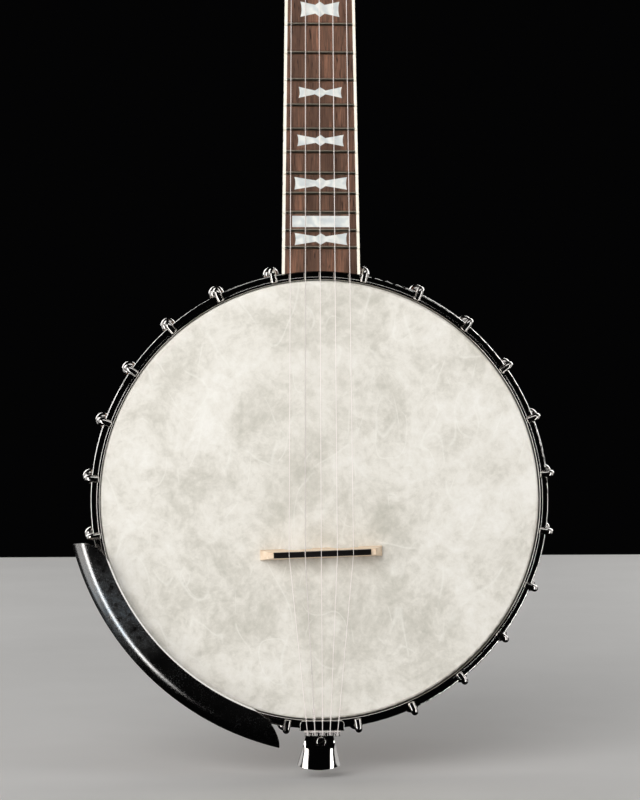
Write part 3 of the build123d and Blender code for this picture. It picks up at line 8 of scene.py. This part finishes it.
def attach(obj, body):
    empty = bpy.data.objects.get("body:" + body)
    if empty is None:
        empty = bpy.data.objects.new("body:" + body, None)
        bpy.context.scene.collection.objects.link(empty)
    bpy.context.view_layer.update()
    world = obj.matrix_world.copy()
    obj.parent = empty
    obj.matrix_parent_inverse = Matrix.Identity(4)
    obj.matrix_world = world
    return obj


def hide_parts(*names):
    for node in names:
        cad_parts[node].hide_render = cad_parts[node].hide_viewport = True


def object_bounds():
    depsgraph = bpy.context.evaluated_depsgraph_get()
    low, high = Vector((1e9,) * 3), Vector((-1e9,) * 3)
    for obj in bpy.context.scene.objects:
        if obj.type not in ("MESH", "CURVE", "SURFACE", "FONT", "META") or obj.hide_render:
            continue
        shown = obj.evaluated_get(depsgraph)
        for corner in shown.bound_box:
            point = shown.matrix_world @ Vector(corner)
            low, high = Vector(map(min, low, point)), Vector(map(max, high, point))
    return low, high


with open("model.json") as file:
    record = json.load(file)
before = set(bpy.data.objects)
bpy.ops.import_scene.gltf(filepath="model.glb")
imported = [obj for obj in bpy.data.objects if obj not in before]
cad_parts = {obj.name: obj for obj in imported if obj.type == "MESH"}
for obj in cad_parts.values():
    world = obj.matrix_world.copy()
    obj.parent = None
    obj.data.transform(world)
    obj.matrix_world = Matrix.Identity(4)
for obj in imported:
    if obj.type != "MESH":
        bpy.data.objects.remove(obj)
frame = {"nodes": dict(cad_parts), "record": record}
nodes = frame["nodes"]
CAD_LO, CAD_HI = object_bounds()
scene = bpy.context.scene
MM = 0.001

# ---------------------------------------------------------------------------
# Reference points of the instrument, as in the CAD (metres)
# ---------------------------------------------------------------------------
POT_Y, POT_Z = -36.0, -658.0
T1, T2 = math.radians(2.63), math.radians(2.63 + 14.0)
ALONG = Vector((0, math.sin(T1), math.cos(T1)))
BACK = Vector((0, math.cos(T1), -math.sin(T1)))
ALONG_H = Vector((0, math.sin(T2), math.cos(T2)))
BACK_H = Vector((0, math.cos(T2), -math.sin(T2)))
NUT_S = 484.35
PEGHEAD_X = 2.6


def pot_point(x, depth, z):
    return Vector((x, POT_Y + depth, POT_Z + z)) * MM


NECK_ORIGIN = pot_point(0, -1.7, 148.75)


def neck_point(x, s, w):
    return NECK_ORIGIN + (Vector((x, 0, 0)) + ALONG * s + BACK * w) * MM


PEG_ORIGIN = neck_point(PEGHEAD_X, NUT_S + 5.6, 1.5)


def peg_point(x, t, w):
    return PEG_ORIGIN + (Vector((x - PEGHEAD_X, 0, 0)) + ALONG_H * t + BACK_H * w) * MM


# ---------------------------------------------------------------------------
# Camera at the viewing angle, stage and lights
# ---------------------------------------------------------------------------
def make_camera():
    yaw, pitch, roll = -0.0532, -0.0132, 0.0007
    turn = Matrix.Rotation(yaw, 3, "Z") @ Matrix.Rotation(pitch, 3, "X") @ Matrix.Rotation(roll, 3, "Y")
    right, forward, up = turn.col[0], turn.col[1], turn.col[2]
    data = bpy.data.cameras.new("camera")
    data.sensor_fit = "AUTO"
    data.sensor_width = 36.0
    data.lens = 2500.0 * 36.0 / 800.0
    data.clip_start, data.clip_end = 0.05, 60.0
    cam = bpy.data.objects.new("camera", data)
    scene.collection.objects.link(cam)
    place = Matrix((right, up, -forward)).transposed().to_4x4()
    place.translation = Vector((-0.0856, -1.6367, -0.5726))
    cam.matrix_world = place
    scene.camera = cam


make_camera()
scene.view_settings.view_transform = "Standard"
scene.view_settings.look = "None"

FLOOR_Z = CAD_LO.z - 0.006


def make_mesh(name, verts, faces, smooth=True):
    mesh = bpy.data.meshes.new(name)
    mesh.from_pydata([tuple(v) for v in verts], [], faces)
    mesh.update()
    if smooth:
        mesh.polygons.foreach_set("use_smooth", [True] * len(mesh.polygons))
    obj = bpy.data.objects.new(name, mesh)
    scene.collection.objects.link(obj)
    return obj


def softbox(name, place, target, width, height, power, colour=(1, 1, 1)):
    data = bpy.data.lights.new(name, "AREA")
    data.shape = "RECTANGLE"
    data.size, data.size_y = width, height
    data.energy = power
    data.color = colour
    lamp = bpy.data.objects.new(name, data)
    scene.collection.objects.link(lamp)
    lamp.location = place
    lamp.rotation_mode = "QUATERNION"
    lamp.rotation_quaternion = (Vector(target) - Vector(place)).to_track_quat("-Z", "Y")
    lamp.visible_camera = False
    return lamp


# ---------------------------------------------------------------------------
# Material helper
# ---------------------------------------------------------------------------
class Shade:
    """A node material: one Principled shader and short ways to add texture nodes."""

    def __init__(self, name, **sockets):
        self.mat = bpy.data.materials.new(name)
        self.mat.use_nodes = True
        self.tree = self.mat.node_tree
        self.tree.nodes.clear()
        self.out = self.tree.nodes.new("ShaderNodeOutputMaterial")
        self.bsdf = self.tree.nodes.new("ShaderNodeBsdfPrincipled")
        self.tree.links.new(self.bsdf.outputs["BSDF"], self.out.inputs["Surface"])
        for k, v in sockets.items():
            self.put(k.replace("_", " "), v)
        self.where = None

    def put(self, socket, value):
        s = self.bsdf.inputs[socket]
        if isinstance(value, bpy.types.NodeSocket):
            self.tree.links.new(value, s)
        elif isinstance(value, (tuple, list)) and len(value) == 3 and s.type == "RGBA":
            s.default_value = (*value, 1.0)
        else:
            s.default_value = value

    def node(self, kind, ins=None, **props):
        made = self.tree.nodes.new("ShaderNode" + kind)
        for k, v in props.items():
            setattr(made, k, v)
        for k, v in (ins or {}).items():
            s = made.inputs[k]
            if isinstance(v, bpy.types.NodeSocket):
                self.tree.links.new(v, s)
            elif isinstance(v, (tuple, list)) and len(v) == 3 and s.type == "RGBA":
                s.default_value = (*v, 1.0)
            else:
                s.default_value = v
        return made

    def coords(self, scale=(1, 1, 1), turn=(0, 0, 0), shift=(0, 0, 0), source=None):
        if source is None:
            if self.where is None:
                self.where = self.node("TexCoord").outputs["Object"]
            source = self.where
        return self.node("Mapping", {"Vector": source, "Scale": scale, "Rotation": turn, "Location": shift}).outputs[0]

    def noise(self, vector, scale, detail=4.0, rough=0.5, warp=0.0):
        return self.node(
            "TexNoise", {"Vector": vector, "Scale": scale, "Detail": detail, "Roughness": rough, "Distortion": warp}
        ).outputs[0]

    def voronoi(self, vector, scale, feature="F1", out="Distance", jitter=1.0):
        return self.node("TexVoronoi", {"Vector": vector, "Scale": scale, "Randomness": jitter}, feature=feature).outputs[out]

    def ramp(self, fac, stops, interpolation="LINEAR"):
        made = self.node("ValToRGB", {"Fac": fac})
        bar = made.color_ramp
        bar.interpolation = interpolation
        bar.elements[0].position, bar.elements[0].color = stops[0][0], self._four(stops[0][1])
        bar.elements[1].position, bar.elements[1].color = stops[-1][0], self._four(stops[-1][1])
        for place, colour in stops[1:-1]:
            bar.elements.new(place).color = self._four(colour)
        return made.outputs["Color"]

    @staticmethod
    def _four(c):
        if isinstance(c, (int, float)):
            return (c, c, c, 1.0)
        return (*c, 1.0) if len(c) == 3 else c

    def mix(self, fac, a, b, blend="MIX"):
        made = self.tree.nodes.new("ShaderNodeMix")
        made.data_type = "RGBA"
        made.blend_type = blend
        for index, value in ((0, fac), (6, a), (7, b)):
            s = made.inputs[index]
            if isinstance(value, bpy.types.NodeSocket):
                self.tree.links.new(value, s)
            elif isinstance(value, (tuple, list)):
                s.default_value = self._four(value)
            else:
                s.default_value = value
        return made.outputs[2]

    def math(self, operation, a, b=None, clamp=False):
        ins = {0: a} if b is None else {0: a, 1: b}
        return self.node("Math", ins, operation=operation, use_clamp=clamp).outputs[0]

    def span(self, value, low, high, to_low=0.0, to_high=1.0):
        return self.node(
            "MapRange", {"Value": value, "From Min": low, "From Max": high, "To Min": to_low, "To Max": to_high}
        ).outputs[0]

    def polar(self):
        """(arc length, depth, radius) about the pot's axis, in metres, as a vector, and the radius."""
        if self.where is None:
            self.where = self.node("TexCoord").outputs["Object"]
        parts = self.node("SeparateXYZ", {0: self.where})
        z = self.math("SUBTRACT", parts.outputs["Z"], POT_Z * MM)
        x = parts.outputs["X"]
        angle = self.math("ARCTAN2", x, z)
        radius = self.math("SQRT", self.math("ADD", self.math("MULTIPLY", x, x), self.math("MULTIPLY", z, z)))
        arc = self.math("MULTIPLY", angle, 0.14)
        return self.node("CombineXYZ", {0: arc, 1: parts.outputs["Y"], 2: radius}).outputs[0], radius

    def bump(self, height, strength=0.3, distance=0.0005, normal=None):
        ins = {"Height": height, "Strength": strength, "Distance": distance}
        if normal is not None:
            ins["Normal"] = normal
        out = self.node("Bump", ins).outputs[0]
        self.put("Normal", out)
        return out


def srgb(r, g, b):
    """Linear colour of an 8-bit display colour."""
    out = []
    for v in (r, g, b):
        v /= 255.0
        out.append(v / 12.92 if v <= 0.04045 else ((v + 0.055) / 1.055) ** 2.4)
    return tuple(out)


MATS = {}


def metal(name, colour, rough_low, rough_high, scale=90.0, bump=0.02, brushed=None, warp=0.4, metallic=1.0):
    """Bright metal with faint smears and micro scratches."""
    s = Shade(name, Metallic=metallic)
    where = s.coords(brushed or (1, 1, 1))
    cloud = s.noise(where, scale, 5.0, 0.6, warp)
    fine = s.noise(s.coords(), scale * 14, 3.0, 0.6)
    s.put("Base Color", s.ramp(cloud, [(0.3, tuple(c * 0.94 for c in colour)), (0.7, colour)]))
    s.put("Roughness", s.span(s.mix(0.35, cloud, fine), 0.3, 0.7, rough_low, rough_high))
    s.bump(s.mix(0.3, cloud, fine), bump, 0.0002)
    MATS[name] = s.mat
    return s


def wood(name, dark, mid, light, long_axis=2, pore=0.5, rough=(0.35, 0.5), grain=70.0, coat=0.0, bump=0.15, source=None, figure=0.35, pit_size=16.0):
    """Straight-grained wood: broad bands, fibre lines and short dark pores along one axis."""
    s = Shade(name)
    stretch = [1.0, 1.0, 1.0]
    stretch[long_axis] = 0.06
    pores = [1.0, 1.0, 1.0]
    pores[long_axis] = 0.03
    src = source(s) if source else None
    broad = s.noise(s.coords(tuple(stretch), source=src), grain, 3.0, 0.5, 0.6)
    fibre = s.noise(s.coords(tuple(pores), source=src), grain * 9, 4.0, 0.7)
    short = [1.0, 1.0, 1.0]
    short[long_axis] = 0.10
    pits = s.noise(s.coords(tuple(short), shift=(3, 5, 7), source=src), grain * pit_size, 2.0, 0.5)
    tone = s.mix(figure, broad, fibre)
    base = s.ramp(tone, [(0.30, dark), (0.5, mid), (0.70, light)])
    pit = s.ramp(pits, [(0.30, 1.0), (0.40, 0.0)])
    dark2 = tuple(c * 0.35 for c in dark)
    colour = s.mix(s.math("MULTIPLY", pit, pore), base, dark2)
    s.put("Base Color", colour)
    s.put("Roughness", s.span(fibre, 0.3, 0.7, rough[0], rough[1]))
    if coat:
        s.put("Coat Weight", coat)
        s.put("Coat Roughness", 0.12)
    s.bump(s.math("SUBTRACT", fibre, s.math("MULTIPLY", pit, pore)), bump, 0.0002)
    MATS[name] = s.mat
    return s


def polar_source(s):
    return s.polar()[0]


# --- metals
metal("polished_nickel", (0.80, 0.775, 0.745), 0.06, 0.12, 60.0, 0.008)
metal("nickel_hardware", (0.78, 0.745, 0.71), 0.13, 0.21, 140.0, 0.02)
metal("plain_steel", (0.56, 0.55, 0.53), 0.22, 0.34, 160.0, 0.06)
metal("hoop_alloy", (0.70, 0.69, 0.66), 0.22, 0.34, 120.0, 0.05)
metal("ring_brass", (0.78, 0.57, 0.28), 0.12, 0.24, 120.0, 0.04)
metal("fret_wire", (0.52, 0.46, 0.37), 0.36, 0.48, 260.0, 0.04)
metal("string_steel", (0.98, 0.91, 0.88), 0.34, 0.40, 60.0, 0.0, metallic=0.18)

# --- woods
wood("fingerboard_wood", srgb(52, 35, 28), srgb(92, 67, 54), srgb(148, 104, 82), 2, 0.8, (0.40, 0.55), 110.0, bump=0.22, figure=0.5, pit_size=9.0)
wood("neck_wood", srgb(74, 34, 20), srgb(108, 54, 31), srgb(138, 74, 44), 2, 0.35, (0.30, 0.42), 60.0, coat=0.35, bump=0.08)
wood("dark_veneer", srgb(24, 19, 18), srgb(34, 27, 25), srgb(48, 38, 34), 2, 0.3, (0.22, 0.34), 80.0, coat=0.6, bump=0.05)
wood("bridge_maple", srgb(216, 184, 152), srgb(240, 216, 188), srgb(250, 233, 212), 0, 0.25, (0.38, 0.52), 150.0, bump=0.12)
wood("bridge_ebony", srgb(12, 11, 11), srgb(20, 18, 18), srgb(34, 31, 30), 0, 0.4, (0.28, 0.42), 160.0, bump=0.2)


def make_rim_maple():
    s = Shade("rim_maple", Coat_Weight=0.5, Coat_Roughness=0.1)
    vec, radius = s.polar()
    broad = s.noise(s.coords((0.08, 1.0, 1.0), source=vec), 120.0, 3.0, 0.5, 0.4)
    fibre = s.noise(s.coords((0.03, 1.0, 1.0), source=vec), 1100.0, 3.0, 0.7)
    curl = s.noise(s.coords((1.0, 0.12, 0.2), source=vec), 160.0, 2.0, 0.5)
    tone = s.mix(0.25, s.mix(0.3, broad, fibre), curl)
    base = s.ramp(tone, [(0.32, srgb(146, 92, 48)), (0.5, srgb(178, 120, 68)), (0.7, srgb(204, 150, 96))])
    # glue lines between the three plies
    line = 0.0
    ply = None
    for r in (0.1304, 0.1352):
        near = s.math("ABSOLUTE", s.math("SUBTRACT", radius, r))
        mark = s.span(near, 0.00012, 0.00030, 1.0, 0.0)
        ply = mark if ply is None else s.math("MAXIMUM", ply, mark)
    s.put("Base Color", s.mix(ply, base, srgb(66, 36, 20)))
    s.put("Roughness", s.span(fibre, 0.3, 0.7, 0.28, 0.42))
    s.bump(fibre, 0.06, 0.0002)
    MATS["rim_maple"] = s.mat


make_rim_maple()


# --- head film: a mottled ivory skin with pale fibres
HEAD_TONES = ((186, 183, 172), (205, 201, 191), (222, 218, 209), (232, 229, 222))


def make_head_film():
    s = Shade("head_film", Roughness=0.45)
    blot = s.noise(s.coords(shift=(0.7, 0.0, 1.9)), 10.0, 8.0, 0.60, 0.5)
    patch = s.noise(s.coords(shift=(4.0, 0.0, 2.0)), 34.0, 9.0, 0.72, 0.5)
    fine = s.noise(s.coords(shift=(1.0, 3.0, 2.0)), 210.0, 5.0, 0.65, 0.4)
    grit = s.noise(s.coords(), 1100.0, 3.0, 0.6)
    tone = s.mix(0.20, s.mix(0.48, blot, patch), fine)
    base = s.ramp(
        tone,
        [(0.385, srgb(*HEAD_TONES[0])), (0.46, srgb(*HEAD_TONES[1])), (0.525, srgb(*HEAD_TONES[2])), (0.60, srgb(*HEAD_TONES[3]))],
    )
    # pale fibres: broken contour lines of slow noises, in three directions
    fibres = None
    for k, (turn, size, thick) in enumerate(((0.3, 17.0, 0.0065), (1.4, 24.0, 0.0085), (2.5, 33.0, 0.011), (0.9, 46.0, 0.013))):
        field = s.noise(s.coords((1.0, 1.0, 0.55), turn=(0, turn, 0), shift=(2.0 * k, 1.0, 5.0 + k)), size, 0.6, 0.45, 0.12)
        line = s.span(s.math("ABSOLUTE", s.math("SUBTRACT", field, 0.5)), 0.0, thick, 1.0, 0.0)
        gate = s.span(s.noise(s.coords(shift=(7.0 + k, 2.0, 3.0)), 38.0, 3.0, 0.5), 0.50, 0.58)
        part = s.math("MULTIPLY", line, gate)
        fibres = part if fibres is None else s.math("MAXIMUM", fibres, part)
    colour = s.mix(s.math("MULTIPLY", fibres, 0.40), base, srgb(238, 236, 229))
    s.put("Base Color", s.mix(s.span(grit, 0.35, 0.65, 0.0, 0.035), colour, srgb(150, 148, 138)))
    s.put("Roughness", s.span(fine, 0.3, 0.7, 0.40, 0.52))
    s.bump(s.mix(0.5, fine, grit), 0.05, 0.0002)
    MATS["head_film"] = s.mat


make_head_film()


def plastic(name, low, high, rough, scale=60.0, coat=0.0, bump=0.03, sub=0.0):
    s = Shade(name)
    cloud = s.noise(s.coords(), scale, 4.0, 0.6, 0.6)
    fine = s.noise(s.coords(), scale * 18, 3.0, 0.6)
    s.put("Base Color", s.ramp(s.mix(0.25, cloud, fine), [(0.35, low), (0.65, high)]))
    s.put("Roughness", s.span(fine, 0.3, 0.7, rough[0], rough[1]))
    if coat:
        s.put("Coat Weight", coat)
        s.put("Coat Roughness", 0.08)
    if sub:
        s.put("Subsurface Weight", sub)
        s.put("Subsurface Scale", 0.002)
    s.bump(fine, bump, 0.0002)
    MATS[name] = s.mat
    return s


plastic("ivory_binding", srgb(240, 232, 214), srgb(249, 245, 234), (0.26, 0.36), 120.0)
plastic("bone", srgb(226, 218, 200), srgb(240, 234, 220), (0.28, 0.4), 200.0)
plastic("cover_plastic", srgb(16, 16, 17), srgb(26, 26, 27), (0.16, 0.24), 90.0, coat=0.4)


def pearl(name, dark, mid, light, scale, rough=(0.10, 0.2)):
    """Shell: folded bands of pale blue-grey and white under a clear polish."""
    s = Shade(name, Coat_Weight=0.7, Coat_Roughness=0.05)
    bend = s.node("TexNoise", {"Vector": s.coords(), "Scale": scale * 0.6, "Detail": 2.0}).outputs["Color"]
    vec = s.node("VectorMath", {0: s.coords(), 1: bend, 2: (0.02, 0.02, 0.02)}, operation="ADD").outputs[0]
    bands = s.node("TexWave", {"Vector": s.coords((1, 1, 1), turn=(0.3, 0.5, 0.7)), "Scale": scale, "Distortion": 14.0, "Detail": 3.0, "Detail Scale": 1.2}, wave_type="BANDS").outputs["Fac"]
    cloud = s.noise(s.coords(), scale * 3, 4.0, 0.6, 1.5)
    tone = s.mix(0.5, bands, cloud)
    s.put("Base Color", s.ramp(tone, [(0.25, dark), (0.5, mid), (0.75, light)]))
    s.put("Roughness", s.span(cloud, 0.3, 0.7, rough[0], rough[1]))
    s.bump(cloud, 0.03, 0.0002)
    MATS[name] = s.mat
    return s


pearl("pearl", srgb(200, 205, 205), srgb(213, 216, 213), srgb(226, 227, 222), 45.0)
pearl("button_pearl", srgb(206, 200, 186), srgb(226, 222, 210), srgb(240, 238, 230), 60.0)

def make_armrest():
    """Plated sheet with a thin film of dust specks that breaks up its reflections, a painted highlight along its inner
    edge, and a bluish patch on its upper half that is partly dust and partly a painted reflection.
    """
    s = Shade("armrest_nickel")
    cloud = s.noise(s.coords(), 45.0, 5.0, 0.6, 0.5)
    specks = s.voronoi(s.coords(), 900.0)
    gate = s.noise(s.coords(shift=(2, 1, 6)), 60.0, 4.0, 0.7, 0.8)
    dust = s.math("MULTIPLY", s.span(specks, 0.16, 0.34, 1.0, 0.0), s.span(gate, 0.46, 0.64))
    body = s.mix(dust, s.ramp(cloud, [(0.3, (0.46, 0.445, 0.43)), (0.7, (0.54, 0.525, 0.51))]), (0.50, 0.51, 0.53))
    parts = s.node("SeparateXYZ", {0: s.where})
    # painted highlight: the band just inside the inner edge (reach under about 160.05 mm) is painted pale and less
    # metallic, standing in for the edge catching the light
    dx = s.math("SUBTRACT", parts.outputs["X"], 0.01477)
    dz = s.math("SUBTRACT", parts.outputs["Z"], (POT_Z + 15.93) * MM)
    reach = s.math("SQRT", s.math("ADD", s.math("MULTIPLY", dx, dx), s.math("MULTIPLY", dz, dz)))
    painted_edge_highlight = s.span(reach, 0.16030, 0.16005)
    # bluish patch on the upper half: partly a smear of dust, partly a painted reflection
    ex = s.math("SUBTRACT", parts.outputs["X"], -0.1295)
    ez = s.math("SUBTRACT", parts.outputs["Z"], (POT_Z - 69.0) * MM)
    near = s.math("SQRT", s.math("ADD", s.math("MULTIPLY", ex, ex), s.math("MULTIPLY", ez, ez)))
    smear = s.noise(s.coords(shift=(5, 3, 1)), 170.0, 7.0, 0.75, 0.6)
    dust_and_painted_reflection = s.math("MULTIPLY", s.span(near, 0.040, 0.006), s.span(smear, 0.36, 0.62))
    # base colour: the pale band is the painted edge highlight; the bluish patch is partly dust, partly a painted
    # reflection
    s.put("Base Color", s.mix(painted_edge_highlight, s.mix(dust_and_painted_reflection, body, (0.34, 0.41, 0.47)), (0.93, 0.90, 0.86)))
    s.put("Metallic", s.math("SUBTRACT", s.span(painted_edge_highlight, 0.0, 1.0, 1.0, 0.2), s.math("MULTIPLY", dust_and_painted_reflection, 0.13)))
    s.put("Roughness", s.math("ADD", s.span(cloud, 0.3, 0.7, 0.20, 0.28), s.math("MULTIPLY", dust, 0.30)))
    s.bump(s.mix(0.3, cloud, dust), 0.01, 0.0001)
    MATS["armrest_nickel"] = s.mat


make_armrest()


def make_wound():
    """Wound wire: the wrap's turns are ridges across the string, and its colour is darker in the grooves between them
    as painted shade.
    """
    s = Shade("wound_steel", Metallic=0.25)
    ridge = s.node("TexWave", {"Vector": s.coords(), "Scale": 1250.0, "Distortion": 0.0}, wave_type="BANDS", bands_direction="Z").outputs["Fac"]
    cloud = s.noise(s.coords((1, 1, 0.05)), 500.0, 3.0, 0.6)
    # the base colour follows the ridges: painted shade in the grooves between the turns
    s.put("Base Color", s.ramp(s.mix(0.5, cloud, ridge), [(0.2, (0.66, 0.61, 0.58)), (0.8, (0.92, 0.86, 0.83))]))
    s.put("Roughness", s.span(cloud, 0.3, 0.7, 0.26, 0.38))
    s.bump(ridge, 0.5, 0.0001)
    MATS["wound_steel"] = s.mat


make_wound()

SLOT_OF = {m["node"]: m["material_slot"] for m in frame["record"]["subparts"]}
OWN_MATERIAL = {"armrest": "armrest_nickel"}
for name, obj in nodes.items():
    key = OWN_MATERIAL.get(name) or SLOT_OF[name]
    obj.data.materials.clear()
    obj.data.materials.append(MATS[key])

# ---------------------------------------------------------------------------
# Strings: one wire each from post to prongs, with windings, twists and loops
# ---------------------------------------------------------------------------
# radius drawn, nut position across the neck, slot at the bridge, tail slot
STRINGS = {
    1: (0.21, 14.0, 2, 11.2),
    2: (0.22, 6.6, 1, 6.0),
    3: (0.22, -0.8, 0, 0.8),
    4: (0.30, -8.2, -1, -4.4),
    5: (0.21, -17.5, -2, -9.6),
}
POSTS = {1: (27.0, 48.0, -1), 2: (24.0, 104.0, -1), 3: (-18.0, 104.0, 1), 4: (-21.0, 48.0, 1)}
FIFTH_S, FIFTH_W, FIFTH_X = 337.0, 5.6, -20.3
BRIDGE_TURN = math.radians(1.9)
BAR_X, PRONG_PITCH = 0.6, 4.8


def wire(name, points, radius, material, body, closed=False, ends=True):
    data = bpy.data.curves.new(name, "CURVE")
    data.dimensions = "3D"
    line = data.splines.new("POLY")
    line.points.add(len(points) - 1)
    for at, p in zip(line.points, points):
        at.co = (*p, 1.0)
    line.use_cyclic_u = closed
    line.use_smooth = True
    data.bevel_depth = radius * MM
    data.bevel_resolution = 3
    data.use_fill_caps = ends and not closed
    data.materials.append(MATS[material])
    obj = bpy.data.objects.new(name, data)
    scene.collection.objects.link(obj)
    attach(obj, body)
    return obj


def bridge_point(u, h):
    along = Vector((math.cos(BRIDGE_TURN), 0, math.sin(BRIDGE_TURN)))
    return pot_point(0.35, 0, -33.8) + (along * u + Vector((0, -h, 0))) * MM


def waist(w):
    """Radius of a tuner post at depth w in front of the peghead."""
    f = min(max((-w - 7.0) / 3.5, 0.0), 2.0)
    return 3.0 - 0.55 * (f if f <= 1.0 else 2.0 - f)


def around_line(start, end, radius, turns, steps=14, lead=0.0):
    """Points of a helix about the line from start to end."""
    axis = (end - start).normalized()
    u = axis.cross(Vector((0, 1, 0))).normalized()
    v = axis.cross(u)
    out = []
    for k in range(int(turns * steps) + 1):
        a = lead + 2 * math.pi * k / steps
        out.append(start + (end - start) * (k / (turns * steps)) + (u * math.cos(a) + v * math.sin(a)) * radius * MM)
    return out


for number, (r, across, slot, tail) in STRINGS.items():
    mat = "wound_steel" if number == 4 else "string_steel"
    if number == 5:
        start = neck_point(FIFTH_X - 2.9, FIFTH_S, FIFTH_W - 2.3 - r)
        saddle = neck_point(across, 323.4 + 1.0, -3.43)
    else:
        px, pt, side = POSTS[number]
        start = peg_point(px + side * (waist(-8.0) + r + (0.06 if number == 2 else 0.0)), pt, -8.0)
        saddle = neck_point(across, NUT_S + 0.7, -1.42 - r)
    bar_depth = -5.6 - r - 0.02
    prong_x = BAR_X + 0.2 + slot * PRONG_PITCH
    top = pot_point(tail, bar_depth, -141.7)
    low = pot_point(prong_x + (tail - prong_x) * 0.2, bar_depth, -147.9)
    end = pot_point(prong_x, bar_depth + 0.45, -150.6)
    bridge = bridge_point(-0.75 + slot * 10.25, 15.7)
    main = wire("string_%d_wire" % number, [start, saddle, bridge, top, low, end], r, mat, "banjo")
    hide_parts("string_%d" % number)

    # loop end: the wire goes round its pair of prongs and is twisted back up itself
    down = Vector((0, -0.45, -1.0)).normalized()
    centre = pot_point(prong_x, -4.5, -147.0) + down * 1.5 * MM
    out = Vector((0, -1.0, 0.45)).normalized()
    loop = []
    for k in range(28):
        a = 2 * math.pi * k / 28
        x = math.cos(a) * (0.77 + 1.25 * r)
        loop.append(centre + (Vector((x + math.copysign(1.1, math.cos(a)), 0, 0)) + out * math.sin(a) * (0.77 + 1.25 * r)) * MM)
    wire("string_%d_loop" % number, loop, 1.25 * r, "string_steel", "banjo", closed=True)
    reach = (bridge - top).normalized()
    wire("string_%d_twist" % number, around_line(top + reach * 0.4 * MM, top + reach * 9.0 * MM, 2 * r, 7.0), r * 0.9, "string_steel", "banjo")

    # windings on the post, ending in its hole with a clipped tail
    turns, pts = 4, []
    if number == 5:
        for k in range(turns * 24 + 1):
            a = 2 * math.pi * k / 24
            x = FIFTH_X - 2.9 - (2 * r + 0.04) * k / 24
            pts.append(neck_point(x, FIFTH_S + (2.3 + r) * math.sin(a), FIFTH_W - (2.3 + r) * math.cos(a)))
    else:
        for k in range((turns + 1) * 24 + 13):
            a = 2 * math.pi * k / 24
            done = min(k / 24, turns)
            w = -8.0 - (2 * r + 0.03) * done
            if k > turns * 24:
                f = (k - turns * 24) / 36
                w += (-11.0 - w) * f * f * (3 - 2 * f)
            turn = a if side > 0 else math.pi - a
            rho = waist(w) + r
            pts.append(peg_point(px + rho * math.cos(turn), pt + rho * math.sin(turn), w))
        leave = 1.0 if math.cos(turn) > 0 else -1.0
        pts.append(peg_point(px + leave * 1.6, pt, -11.0))
        tail_end = [peg_point(px - leave * 1.6, pt, -11.0), peg_point(px - leave * 3.4, pt, -11.0), peg_point(px - leave * 5.6, pt + 1.0, -11.5)]
        wire("string_%d_clipped_end" % number, tail_end, r, "string_steel", "post_%d" % number)
    wire("string_%d_winding" % number, pts, r, "string_steel", "post_%d" % number)

# ---------------------------------------------------------------------------
# Side dots along the player's edge of the board
# ---------------------------------------------------------------------------


def left_edge(s):
    wide, narrow = -24.7 + 0.0136 * s, -14.2 + (s - 367.0) * 2.0 / 126.0
    if s <= 343.0:
        return wide
    return narrow if s >= 367.0 else wide


def fret_s(n):
    return NUT_S - 655.0 * (1 - 2 ** (-n / 12))


def make_side_dots():
    verts, faces = [], []
    for n in (3, 5, 7, 10, 12, 15, 17, 19, 22):
        mid = (fret_s(n) + fret_s(n - 1)) / 2
        for shift in ((-3.2, 3.2) if n == 12 else (0.0,)):
            s = mid + shift
            x = left_edge(s)
            base, ring, last = len(verts), 20, None
            for lift, rad in ((-0.25, 1.05), (0.03, 1.05), (0.09, 0.9), (0.11, 0.5)):
                for k in range(ring):
                    a = 2 * math.pi * k / ring
                    verts.append(neck_point(x - lift, s + rad * math.cos(a), 2.7 + rad * math.sin(a)))
            for row in range(3):
                for k in range(ring):
                    p, q = base + row * ring + k, base + row * ring + (k + 1) % ring
                    faces.append((p, q, q + ring, p + ring))
            faces.append([base + 3 * ring + k for k in range(ring)])
            faces.append([base + ring - 1 - k for k in range(ring)])
    dots = make_mesh("board_side_dots", verts, faces)
    dots.data.materials.append(MATS["cover_plastic"])
    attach(dots, "banjo")


make_side_dots()

# ---------------------------------------------------------------------------
# Stage
# ---------------------------------------------------------------------------
floor_mat = Shade("stage_floor", Roughness=0.7)
floor_mat.put("Base Color", floor_mat.ramp(floor_mat.noise(floor_mat.coords(), 3.0, 4.0, 0.6), [(0.3, (0.56, 0.55, 0.535)), (0.7, (0.62, 0.61, 0.595))]))
floor = make_mesh("stage_floor_slab", [(-5, -4.5, FLOOR_Z), (5, -4.5, FLOOR_Z), (5, 1.86, FLOOR_Z), (-5, 1.86, FLOOR_Z)], [(0, 1, 2, 3)], False)
floor.data.materials.append(floor_mat.mat)
floor.visible_glossy = False

world = bpy.data.worlds.new("studio")
scene.world = world
world.use_nodes = True
world.node_tree.nodes["Background"].inputs[0].default_value = (0.0012, 0.0012, 0.0013, 1)
world.node_tree.nodes["Background"].inputs[1].default_value = 1.0

MID = Vector((0, -0.03, -0.62))
softbox("key_left", (-1.98, -0.99, -1.05), MID, 0.7, 3.4, 24.0)
softbox("key_right", (1.98, -0.99, -1.05), MID, 0.45, 3.4, 14.0)
softbox("side_left", (-2.25, 0.35, -0.7), MID, 1.6, 2.6, 7.5)
softbox("side_right", (2.25, 0.35, -0.7), MID, 1.6, 2.6, 7.5)
softbox("top", (0.25, -1.0, 1.35), MID, 2.2, 0.8, 7.0)
fill = softbox("fill", (-0.9, -2.3, 0.25), MID, 2.2, 1.6, 69.0)
fill.visible_glossy = False
softbox("back_left", (-1.3, 1.7, 0.3), MID, 1.7, 1.7, 18.0)
softbox("back_right", (1.3, 1.7, 0.3), MID, 1.7, 1.7, 18.0)
